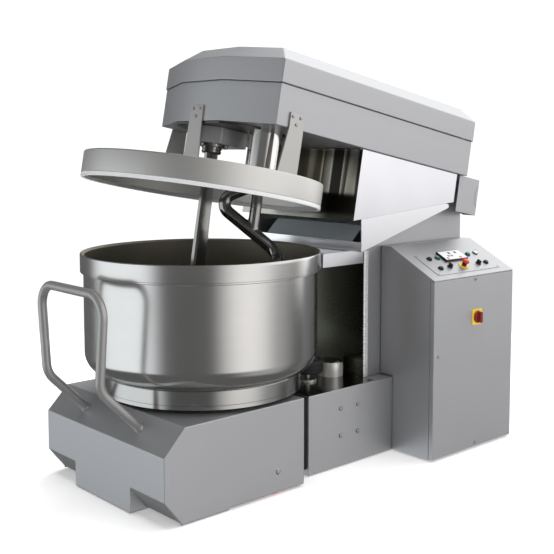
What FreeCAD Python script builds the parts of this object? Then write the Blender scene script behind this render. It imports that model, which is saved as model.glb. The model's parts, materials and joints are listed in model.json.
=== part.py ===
"""Spiral dough mixer with a removable bowl on a trolley and a tilting head.

Millimetres, +Z up, +X towards the electrical cabinet, +Y towards the back.
Everything is drawn about the bowl: the bowl's axis is x = y = 0 and the floor is z = 0.
Head pieces are drawn with the head lowered, and raise_head() lifts them about the hinge.
At the end the whole machine is moved so that the origin is the bottom centre of its box.
"""
import FreeCAD, Part
import math
import os

Vector = FreeCAD.Vector
X_AXIS = Vector(1, 0, 0)
Y_AXIS = Vector(0, 1, 0)
Z_AXIS = Vector(0, 0, 1)

# ---- driving dimensions ---------------------------------------------------------------
SHEET = 3.0               # casing sheet
PLATE = 5.0               # structural plate
SEAM = 0.3                # gap left between separate skins

BOWL_RIM_R = 530.0
BOWL_BODY_R = 516.0
BOWL_WALL = 4.0
BOWL_TOP = 1005.0
RIM_BAND = 81.0
BOWL_FLOOR = 480.0        # underside of the bowl's floor
BOWL_CORNER = 95.0
RING_R = 445.0            # polished ring that the friction wheel drives
RING_Z = 404.0
RING_TOP = 483.0

TROLLEY_HALF = 448.0
TROLLEY_FRONT = -528.0
TROLLEY_BACK = 208.0
TROLLEY_DECK = 389.0
TROLLEY_FLOOR = 12.0      # lower edge of the body
CHAMFER_FOOT = -449.0     # the front is chamfered below, from this y
CHAMFER_TOP = 111.0       # up to this height
SLOPE_FOOT = 286.0        # and slopes back above, from this height
SLOPE_TOP_Y = -427.0      # to the deck's front edge
NOSE_HALF = 213.0
TROLLEY_WHEEL_R = 100.0
TROLLEY_WHEEL_Y = 55.0
CASTOR_Y = -402.0
CASTOR_R = 62.0
CASTOR_TRAIL = 38.0
HANDLE_R = 19.0
SPINDLE_R = 30.0          # upright pin that the bowl turns on

BASE_HALF = 384.0
BASE_FRONT = 295.0
BACK = 1471.0             # back plane of base, column and cabinet
BASE_TOP = 365.0

COLUMN_HALF = 304.0
COLUMN_FRONT = 735.0
COLUMN_TOP = 1085.0

DRIVE_WHEEL_R = 75.0
DRIVE_WHEEL_GAP = 0.4
DRIVE_WHEEL_BEARING = 71.1    # degrees round from +X, seen from above
CAP_X = 165.0             # round steel cap on the base's top plate
CAP_Y = 652.0
CAP_R = 60.0
CAP_HIGH = 72.0
BOLT_Y = (497.0, 610.0)   # bolts on the base's sides
BOLT_Z = (148.0, 275.0)
BOLT_R = 9.0
BOLT_HIGH = 5.0
WALL = 10.0               # base wall
DRIVE_SHAFT_HOLE_R = 32.0

CAB_IN = 308.0
CAB_OUT = 632.0
CAB_FRONT = 851.0
CAB_SLOPE_X = 368.0
CAB_TOP = 989.0
CAB_SLOPE_Z = 851.0
DOOR_DEEP = 24.0
DOOR_GAP = 1.5            # between the door and the cabinet's open side
HINGE_PIN_R = 4.0         # the door's hinge pins
HINGE_PIN_X = CAB_OUT - 8
HINGE_PIN_Y = BACK - 6

HINGE_Y = 1272.0
HINGE_Z = 1124.0
HINGE_R = 30.0
HEAD_RAISED = 10.62       # degrees from lowered to the stored position

HEAD_HALF = 407.5
HEAD_FRONT = -83.0
FACET_HALF = 145.0
FACET_DEEP = 104.0
HEAD_BACK = 1349.0
HEAD_BOTTOM = 1330.0
HEAD_SEAM = 1506.0
LID_SIDE_TOP = 1608.0
LID_TOP = 1672.0

GUARD_R = 530.0
GUARD_BOTTOM = 1017.0
GUARD_TOP = 1129.0
LIP_HEIGHT = 18.0

SPIRAL_X = 212.0
SPIRAL_Y = 143.0
SPIRAL_ROD_R = 27.0
SPIRAL_STEM_R = 25.0
HOUSING_R = 72.0

BAR_Y = 22.0              # the breaker bar stands this far behind the bowl's axis
BAR_LEAN = 18.0           # and its foot this much further back
BAR_HOLE_R = 56.0
UNDER_PLATE = 10.0
BAR_BLOCK_HIGH = 75.0

NECK_HALF = 384.0         # fixed cheeks, inside the arm's cheeks
ARM_HALF = 392.0
ARM_BACK = 1306.0
ARM_PLATE_IN = 256.0      # the arm's two hinge plates run just inside the column's ears
ARM_PLATE_OUT = 272.0
ARM_BOSS_R = 58.0
EAR_TOP = 1172.0
EAR_THICK = 24.0

MOTOR_PULLEY_X = 130.0
MOTOR_PULLEY_Y = 820.0
MOTOR_PULLEY_R = 75.0
SPIRAL_PULLEY_R = 165.0
BELT_Z = 1446.0
BELT_HIGH = 46.0

LIFT_FOOT = (1000.0, 480.0)       # y, z of the cylinder's lower pivot
LIFT_PIN_R = 15.0
LIFT_HEAD = (850.0, 1230.0)       # y, z of its upper pin with the head lowered

nodes = {}


# ---- small helpers --------------------------------------------------------------------
def block(x0, x1, y0, y1, z0, z1):
    return Part.makeBox(x1 - x0, y1 - y0, z1 - z0, Vector(x0, y0, z0))


def rod(start, axis, radius, length):
    return Part.makeCylinder(radius, length, Vector(*start), axis)


def sleeve(start, axis, outer, inner, length):
    return rod(start, axis, outer, length).cut(rod(start, axis, inner, length))


def face_of(points):
    return Part.Face(Part.makePolygon([*points, points[0]]))


def prism_x(outline, x0, x1):
    """Outline of (y, z) points pushed from x0 to x1."""
    return face_of([Vector(x0, y, z) for y, z in outline]).extrude(Vector(x1 - x0, 0, 0))


def prism_y(outline, y0, y1):
    """Outline of (x, z) points pushed from y0 to y1."""
    return face_of([Vector(x, y0, z) for x, z in outline]).extrude(Vector(0, y1 - y0, 0))


def prism_z(outline, z0, z1):
    """Outline of (x, y) points pushed from z0 to z1."""
    return face_of([Vector(x, y, z0) for x, y in outline]).extrude(Vector(0, 0, z1 - z0))


def turned(profile):
    """Profile of (radius, z) points spun about the bowl's axis."""
    return face_of([Vector(r, 0, z) for r, z in profile]).revolve(Vector(0, 0, 0), Z_AXIS, 360)


def mirrored(shape):
    return shape.mirror(Vector(0, 0, 0), X_AXIS)


def group(shapes):
    return Part.makeCompound(list(shapes))


def fused(shapes):
    whole = shapes[0]
    for shape in shapes[1:]:
        whole = whole.fuse(shape)
    return whole.removeSplitter()


def bent_tube(points, radius, bends):
    """Round bar along straight runs with an arc at every inner point."""
    corners = [Vector(*p) for p in points]
    edges = []
    last = corners[0]
    for before, corner, after, bend in zip(corners, corners[1:], corners[2:], bends):
        into = (corner - before).normalize()
        out = (after - corner).normalize()
        turn = into.getAngle(out)
        reach = bend * math.tan(turn / 2)
        start = corner - into * reach
        end = corner + out * reach
        inward = (out - into).normalize()
        middle = corner + inward * (bend / math.cos(turn / 2) - bend)
        edges.append(Part.LineSegment(last, start).toShape())
        edges.append(Part.Arc(start, middle, end).toShape())
        last = end
    edges.append(Part.LineSegment(last, corners[-1]).toShape())
    path = Part.Wire(edges)
    direction = (corners[1] - corners[0]).normalize()
    ring = Part.Wire([Part.makeCircle(radius, corners[0], direction)])
    return path.makePipeShell([ring], True, False)


def raise_head(shape):
    lifted = shape.copy()
    lifted.rotate(Vector(0, HINGE_Y, HINGE_Z), X_AXIS, -HEAD_RAISED)
    return lifted


# ---- base -----------------------------------------------------------------------------
def make_base():
    skin_top = BASE_TOP - SHEET
    ground_gap = 6
    outer = block(-BASE_HALF, BASE_HALF, BASE_FRONT, BACK, ground_gap, skin_top)
    hollow = block(-BASE_HALF + WALL, BASE_HALF - WALL, BASE_FRONT + WALL, BACK - WALL, 0, skin_top - WALL)
    frame = outer.cut(hollow)
    wheel_x, wheel_y = drive_wheel_centre()
    shaft_hole = rod((wheel_x, wheel_y, skin_top - 60), Z_AXIS, DRIVE_SHAFT_HOLE_R, 100)
    frame = frame.cut(shaft_hole)
    foot_y, foot_z = LIFT_FOOT
    ear_foot, ear_top, ear_thick, ear_out = 45, 30, 16, 66
    ear_outline = [(foot_y - ear_foot, skin_top), (foot_y + ear_foot, skin_top),
                   (foot_y + ear_top, foot_z + ear_top), (foot_y - ear_top, foot_z + ear_top)]
    ears = [prism_x(ear_outline, x0, x0 + ear_thick) for x0 in (-ear_out, ear_out - ear_thick)]
    frame = fused([frame, *ears])
    pin = rod((-ear_out, foot_y, foot_z), X_AXIS, LIFT_PIN_R, 2 * ear_out)
    frame = frame.cut(pin)
    bolts = []
    for y in BOLT_Y:
        for z in BOLT_Z:
            bolts.append(rod((BASE_HALF, y, z), X_AXIS, BOLT_R, BOLT_HIGH))
            bolts.append(rod((-BASE_HALF, y, z), X_AXIS * -1, BOLT_R, BOLT_HIGH))
    nodes["base_frame"] = group([frame, pin, *bolts])

    top = block(-BASE_HALF, BASE_HALF, BASE_FRONT, COLUMN_FRONT - 4, skin_top, BASE_TOP)
    top = top.cut(shaft_hole)
    bump = sleeve((wheel_x, wheel_y, BASE_TOP), Z_AXIS, DRIVE_SHAFT_HOLE_R + 12, DRIVE_SHAFT_HOLE_R, 10)
    cap = rod((CAP_X, CAP_Y, BASE_TOP), Z_AXIS, CAP_R, CAP_HIGH)
    cap = cap.makeFillet(3, [edge for edge in cap.Edges if edge.CenterOfMass.z > BASE_TOP + CAP_HIGH - 10
                             and len(edge.Vertexes) == 1])
    nodes["base_top_plate"] = fused([top, bump, cap])

    pad_r, pad_high, stud_r, stud_long = 32, 12, 9, 70
    feet = []
    for x in (-330, 330):
        for y in (350, 880, 1410):
            pad = rod((x, y, 0), Z_AXIS, pad_r, pad_high)
            stud = rod((x, y, pad_high), Z_AXIS, stud_r, stud_long)
            feet.append(fused([pad, stud]))
    nodes["levelling_feet"] = group(feet)


def drive_wheel_centre():
    reach = RING_R + DRIVE_WHEEL_R + DRIVE_WHEEL_GAP
    angle = math.radians(DRIVE_WHEEL_BEARING)
    return reach * math.cos(angle), reach * math.sin(angle)


def make_bowl_drive():
    x, y = drive_wheel_centre()
    can_low, can_high, can_r = 60, 220, 92
    box_half, box_low, box_top = 80, 280.3, 340
    shaft_low, shaft_long, shaft_r = 250, 238, 14
    hub_r, hub_low, hub_high = 52, 408, 62
    can = rod((x, y, can_low), Z_AXIS, can_r, can_high)
    can = can.cut(rod((x, y, shaft_low - 10), Z_AXIS, shaft_r + 2, 60))
    gearbox = block(x - box_half, x + box_half, y - box_half, y + box_half, box_low, box_top)
    gearbox = gearbox.cut(rod((x, y, box_low - 10), Z_AXIS, shaft_r + 0.05, 90))
    nodes["bowl_motor"] = group([can, gearbox])
    shaft = rod((x, y, shaft_low), Z_AXIS, shaft_r, shaft_long)
    hub = rod((x, y, hub_low), Z_AXIS, hub_r, hub_high)
    cap = rod((x, y, shaft_low + shaft_long), Z_AXIS, 22, 6)
    nodes["drive_wheel_hub"] = fused([shaft, hub, cap])
    nodes["drive_wheel_tyre"] = sleeve((x, y, hub_low), Z_AXIS, DRIVE_WHEEL_R, hub_r, hub_high)


# ---- column, neck and lift ------------------------------------------------------------
def make_column():
    base = BASE_TOP - SHEET
    shell = block(-COLUMN_HALF, COLUMN_HALF, COLUMN_FRONT, BACK, base, COLUMN_TOP)
    shell = shell.cut(block(-COLUMN_HALF + PLATE, COLUMN_HALF - PLATE, COLUMN_FRONT + PLATE,
                            BACK - PLATE, base - 1, COLUMN_TOP - PLATE))
    shell = shell.cut(block(-80, 80, COLUMN_FRONT + 25, 1030, COLUMN_TOP - 20, COLUMN_TOP + 1))
    ear = [(1130, COLUMN_TOP), (BACK, COLUMN_TOP), (BACK, 1115), (1400, 1148), (1330, EAR_TOP),
           (1214, EAR_TOP), (1150, 1110)]
    ears = [prism_x(ear, x0, x0 + EAR_THICK) for x0 in (-COLUMN_HALF, COLUMN_HALF - EAR_THICK)]
    shell = fused([shell, *ears])
    for x0 in (-ARM_PLATE_OUT - 6, ARM_PLATE_IN - 6):
        x1 = x0 + ARM_PLATE_OUT - ARM_PLATE_IN + 12
        shell = shell.cut(block(x0, x1, HINGE_Y - 75, HINGE_Y + 75, COLUMN_TOP - 30, COLUMN_TOP + 1))
    shaft_half = COLUMN_HALF - 8      # the ears cover the shaft's ends
    shaft = rod((-shaft_half, HINGE_Y, HINGE_Z), X_AXIS, HINGE_R, 2 * shaft_half)
    nodes["column_frame"] = shell.cut(shaft)
    nodes["hinge_shaft"] = shaft

    inner = COLUMN_HALF + SEAM
    outer = inner + SHEET
    front = COLUMN_FRONT - SEAM
    skin = block(-outer, outer, front - SHEET, front + 24, BASE_TOP + SEAM, 972)
    skin = skin.makeFillet(8, [edge for edge in skin.Edges
                               if abs(edge.tangentAt(edge.FirstParameter).z) > 0.9
                               and edge.CenterOfMass.y < front])
    skin = skin.cut(block(-inner, inner, front, front + 40, 0, 2000))
    nodes["column_front_skin"] = skin


def make_neck():
    drop = 980.0
    rear_low = (1268.0, 1155.0)
    front, wall_back, tray_back, top = 628, 631, 1150, 1290
    thick = 4
    cheek = [(wall_back, drop), rear_low, (1268, 1172), (1120, 1210), (700, top), (front, top), (front, drop)]
    right = prism_x(cheek, NECK_HALF - thick, NECK_HALF)
    wall = block(-NECK_HALF, NECK_HALF, front, wall_back, drop, 1025)
    slope = (rear_low[1] - drop) / (rear_low[0] - wall_back)
    rise = slope * (tray_back - wall_back)
    tray = prism_x([(wall_back, drop), (tray_back, drop + rise), (tray_back, drop + rise + thick),
                    (wall_back, drop + thick)], -NECK_HALF + thick, NECK_HALF - thick)
    opening = COLUMN_HALF + SEAM
    tray = tray.cut(block(-opening, opening, COLUMN_FRONT - 5, 1300, 900, 1300))
    nodes["neck_housing"] = fused([right, mirrored(right), wall, tray])

    low_line = [(636, 1002), (728, 1090), (800, 1102)]
    high_line = [(y, z + SHEET) for y, z in reversed(low_line)]
    nodes["neck_inner_cover"] = prism_x(low_line + high_line, -300, 300)

    shelf_low, shelf_top = 914, drop - 2
    shelf_front, shelf_back = 440, 728
    clear_r = 552                     # the shelf is cut round behind the bowl's rim
    shelf = block(-COLUMN_HALF, COLUMN_HALF, shelf_front, shelf_back, shelf_low, shelf_top)
    shelf = shelf.cut(rod((0, 0, shelf_low - 14), Z_AXIS, clear_r, 200))
    hollow = block(-COLUMN_HALF + thick, COLUMN_HALF - thick, shelf_front, shelf_back - thick,
                   shelf_low - 14, shelf_top - thick)
    hollow = hollow.cut(rod((0, 0, shelf_low - 24), Z_AXIS, clear_r + thick, 220))
    nodes["neck_shelf"] = shelf.cut(hollow)


def lift_line():
    """Foot, unit direction and length of the lift cylinder in the stored position."""
    angle = math.radians(-HEAD_RAISED)
    dy = LIFT_HEAD[0] - HINGE_Y
    dz = LIFT_HEAD[1] - HINGE_Z
    top = Vector(0, HINGE_Y + dy * math.cos(angle) - dz * math.sin(angle),
                 HINGE_Z + dy * math.sin(angle) + dz * math.cos(angle))
    foot = Vector(0, *LIFT_FOOT)
    length = (top - foot).Length
    return foot, (top - foot).normalize(), length


def make_lift():
    foot, way, length = lift_line()

    def along(distance):
        return foot + way * distance

    def bar(start, radius, end):
        return Part.makeCylinder(radius, end - start, along(start), way)

    bore_r, barrel_r, rod_r, running_gap = 38, 48, 20, 0.05
    barrel_end = 600
    barrel = bar(30, barrel_r, barrel_end).cut(bar(60, bore_r, barrel_end - 28))
    barrel = barrel.cut(bar(barrel_end - 30, rod_r + running_gap, barrel_end + 2))
    eye = Part.makeCylinder(36, 60, foot - X_AXIS * 30, X_AXIS)
    eye_bore = Part.makeCylinder(LIFT_PIN_R + running_gap, 80, foot - X_AXIS * 40, X_AXIS)
    nodes["lift_cylinder"] = fused([barrel, eye]).cut(eye_bore)
    piston = bar(275, bore_r - running_gap, 315)
    stem = bar(300, rod_r, length - 30)
    ring = Part.makeCylinder(bore_r, 30, along(length) - X_AXIS * 15, X_AXIS)
    ram = fused([piston, stem, ring])
    # the upper eye is much wider than its pin, because the linkage is opened there
    nodes["lift_rod"] = ram.cut(Part.makeCylinder(25, 40, along(length) - X_AXIS * 20, X_AXIS))


def make_hydraulics():
    tank = block(-230, -110, 1130, 1400, BASE_TOP, 560)
    pump_motor = rod((-170, 1265, 560), Z_AXIS, 52, 190)
    nodes["hydraulic_unit"] = fused([tank, pump_motor])


# ---- trolley and bowl -----------------------------------------------------------------
def trolley_outline(inset, floor_z):
    """Side view (y, z) of the trolley body: sloping top front, chamfered under the front."""
    front = TROLLEY_FRONT + inset
    top = TROLLEY_DECK - inset
    back = TROLLEY_BACK - inset
    run = CHAMFER_FOOT - TROLLEY_FRONT
    rise = CHAMFER_TOP - TROLLEY_FLOOR
    foot = CHAMFER_FOOT + inset * math.hypot(run, rise) / rise
    return [(foot + (TROLLEY_FLOOR - floor_z) * run / rise, floor_z),
            (front, TROLLEY_FLOOR + (foot - front) * rise / run), (front, SLOPE_FOOT - 0.4 * inset),
            (SLOPE_TOP_Y + 0.4 * inset, top), (back, top), (back, floor_z)]


def make_trolley():
    wall = 5.0
    outer = prism_x(trolley_outline(0, TROLLEY_FLOOR), -TROLLEY_HALF, TROLLEY_HALF)
    hollow = prism_x(trolley_outline(wall, -5), -TROLLEY_HALF + wall, TROLLEY_HALF - wall)
    nose = block(-NOSE_HALF, NOSE_HALF, TROLLEY_FRONT, -425, 5, 200)
    skirt = block(TROLLEY_HALF - wall, TROLLEY_HALF, -449, -212, 5, 30)
    room = block(-NOSE_HALF + wall, NOSE_HALF - wall, TROLLEY_FRONT + wall, -300, -5, 268)
    shell = fused([outer, nose, skirt, mirrored(skirt)]).cut(hollow).cut(room)
    deck_post = rod((0, 0, TROLLEY_DECK - 5), Z_AXIS, 70, 20)
    spindle = rod((0, 0, TROLLEY_DECK), Z_AXIS, SPINDLE_R, 76)
    tongue = block(-300, 300, TROLLEY_BACK - 4, BASE_FRONT - 2, 70, 330)
    kingpin_plate = block(-60, 60, CASTOR_Y - 50, CASTOR_Y + 50, 172, 182)
    castor_beam = block(-NOSE_HALF + wall, NOSE_HALF - wall, CASTOR_Y - 18, CASTOR_Y + 18, 182, 232)
    kingpin = rod((0, CASTOR_Y, 140), Z_AXIS, 12, 34)
    nose_ties = [block(x0, x0 + 5, CASTOR_Y - 18, CASTOR_Y + 18, 182, 386)
                 for x0 in (-NOSE_HALF + wall, NOSE_HALF - 2 * wall)]
    shell = fused([shell, deck_post, spindle, tongue, kingpin_plate, castor_beam, kingpin, *nose_ties])
    axles = []
    for side in (-1, 1):
        axle = rod((side * (TROLLEY_HALF - wall), TROLLEY_WHEEL_Y, TROLLEY_WHEEL_R),
                   X_AXIS * -side, 12, 62)
        head = rod((side * TROLLEY_HALF, TROLLEY_WHEEL_Y, TROLLEY_WHEEL_R), X_AXIS * side, 10, 5)
        axles.extend([axle, head])
    nodes["trolley_body"] = fused([shell, *axles])

    for name, side in (("rear_wheel_left", -1), ("rear_wheel_right", 1)):
        start = (side * (TROLLEY_HALF - 12), TROLLEY_WHEEL_Y, TROLLEY_WHEEL_R)
        wheel = sleeve(start, X_AXIS * -side, TROLLEY_WHEEL_R, 12.05, 42)
        wheel = wheel.makeFillet(5, [edge for edge in wheel.Edges
                                     if len(edge.Vertexes) == 1 and edge.Length > 500])
        nodes[name] = wheel

    axle_y = CASTOR_Y + CASTOR_TRAIL
    crown = sleeve((0, CASTOR_Y, 141), Z_AXIS, 34, 12.05, 24)
    bridge = block(-32, 32, CASTOR_Y - 20, axle_y + 14, 130, 143)
    bridge = bridge.cut(rod((0, CASTOR_Y, 120), Z_AXIS, 12.05, 60))
    cheek = prism_x([(CASTOR_Y - 20, 143), (axle_y + 14, 143), (axle_y + 14, CASTOR_R - 12),
                     (axle_y - 14, CASTOR_R - 12)], 26, 32)
    pin = rod((-34, axle_y, CASTOR_R), X_AXIS, 9, 68)
    fork = fused([crown, bridge, cheek, mirrored(cheek), pin])
    nodes["castor_fork"] = fork
    nodes["castor_wheel"] = sleeve((-20, axle_y, CASTOR_R), X_AXIS, CASTOR_R, 9.05, 40)

    half_low, half_top = 206.0, 247.0
    foot = (-475.0, 340.5)
    knee = (-656.0, 521.5)
    bar_z = 897.0
    right = [(half_low, *foot), (half_low, *knee), (half_top, knee[0], bar_z)]
    left = [(-x, y, z) for x, y, z in reversed(right)]
    nodes["trolley_handle"] = bent_tube(right + left, HANDLE_R, [95, 88, 88, 95])


def make_bowl():
    centre_r = BOWL_BODY_R - BOWL_CORNER
    centre_z = BOWL_FLOOR + BOWL_CORNER
    inner = BOWL_CORNER - BOWL_WALL
    mid = math.sqrt(0.5)
    out_low = Vector(centre_r, 0, BOWL_FLOOR)
    out_high = Vector(BOWL_BODY_R, 0, centre_z)
    out_mid = Vector(centre_r + BOWL_CORNER * mid, 0, centre_z - BOWL_CORNER * mid)
    in_low = Vector(centre_r, 0, BOWL_FLOOR + BOWL_WALL)
    in_high = Vector(BOWL_BODY_R - BOWL_WALL, 0, centre_z)
    in_mid = Vector(centre_r + inner * mid, 0, centre_z - inner * mid)
    band_z = BOWL_TOP - RIM_BAND
    side = [out_high, Vector(BOWL_BODY_R, 0, band_z), Vector(BOWL_RIM_R, 0, band_z + 3),
            Vector(BOWL_RIM_R, 0, BOWL_TOP - 4), Vector(BOWL_RIM_R - 4, 0, BOWL_TOP),
            Vector(BOWL_BODY_R - BOWL_WALL, 0, BOWL_TOP), in_high]
    edges = [Part.LineSegment(Vector(0, 0, BOWL_FLOOR), out_low).toShape(),
             Part.Arc(out_low, out_mid, out_high).toShape()]
    edges += [Part.LineSegment(a, b).toShape() for a, b in zip(side, side[1:])]
    edges += [Part.Arc(in_high, in_mid, in_low).toShape(),
              Part.LineSegment(in_low, Vector(0, 0, BOWL_FLOOR + BOWL_WALL)).toShape(),
              Part.LineSegment(Vector(0, 0, BOWL_FLOOR + BOWL_WALL), Vector(0, 0, BOWL_FLOOR)).toShape()]
    nodes["bowl_shell"] = Part.Face(Part.Wire(edges)).revolve(Vector(0, 0, 0), Z_AXIS, 360)

    ring_in = RING_R - 14
    ring = turned([(ring_in, RING_Z), (RING_R, RING_Z), (RING_R, RING_TOP - 1), (ring_in, BOWL_FLOOR + 0.4)])
    socket = SPINDLE_R + 0.06
    table = turned([(socket, 420), (90, 420), (90, 462), (ring_in, 462), (ring_in, BOWL_FLOOR),
                    (0, BOWL_FLOOR), (0, 470), (socket, 470)])
    nodes["bowl_drive_ring"] = fused([ring, table])


# ---- electrical cabinet ---------------------------------------------------------------
def cabinet_section(inset, outer_x):
    """Front view (x, z) of the cabinet: tall box with a sloping control face."""
    rise = (CAB_TOP - CAB_SLOPE_Z) / (CAB_OUT - CAB_SLOPE_X)
    edge_z = CAB_SLOPE_Z + rise * (CAB_OUT - outer_x)
    left = BASE_HALF + 2 + inset
    return [(left, 8 + inset), (outer_x, 8 + inset), (outer_x, edge_z - 1.2 * inset),
            (CAB_SLOPE_X - 0.4 * inset, CAB_TOP - inset), (CAB_IN + inset, CAB_TOP - inset),
            (CAB_IN + inset, BASE_TOP + 2 + inset), (left, BASE_TOP + 2 + inset)]


def slope_frame():
    """Unit vector down the control face and its outward normal."""
    run = Vector(CAB_OUT - CAB_SLOPE_X, 0, CAB_SLOPE_Z - CAB_TOP).normalize()
    return run, Vector(-run.z, 0, run.x)


def on_slope(down, y, lift=0.0):
    run, normal = slope_frame()
    return Vector(CAB_SLOPE_X, y, CAB_TOP) + run * down + normal * lift


def slope_block(down0, down1, y0, y1, lift0, lift1):
    corners = [on_slope(down0, y0, lift0), on_slope(down1, y0, lift0),
               on_slope(down1, y0, lift1), on_slope(down0, y0, lift1)]
    return face_of(corners).extrude(Vector(0, y1 - y0, 0))


PLATE_DOWN = (97.0, 266.0)
PLATE_Y = (918.0, 1396.0)
CONTROL_TOP = 2.5          # thickness of the control plate
COLLAR = 4.0
HOLE_R = 11.4              # control holes
STEM_R = 11.3              # button stems
STEM_DEEP = 12.0           # and how far they reach below the face
CAP_RISE = 6.0             # button top above its collar
# name: (distance down the slope, y)
BUTTONS = {"button_black_1": (138, 985), "button_green_1": (138, 1046), "button_green_2": (138, 1284),
           "button_black_2": (218, 984), "button_black_3": (218, 1338)}
SELECTORS = {"selector_1": (214, 1058), "selector_2": (218, 1277)}
ESTOP = (222, 1154)
ESTOP_RING_R = 27.0
ESTOP_NECK = 22.0          # underside of the mushroom above the plate
ESTOP_HEAD_R = 19.0
ESTOP_HEAD_HIGH = 15.0
LAMP = (134, 1350)
SWITCH_Y = 1176.0
SWITCH_Z = 648.0
SWITCH_PLATE_HALF = 38.0
SWITCH_DISC_R = 29.0
CABLE_X = 520.0            # mains cable entry in the cabinet's back
CABLE_Z = 150.0
CABLE_R = 16.25


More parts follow.
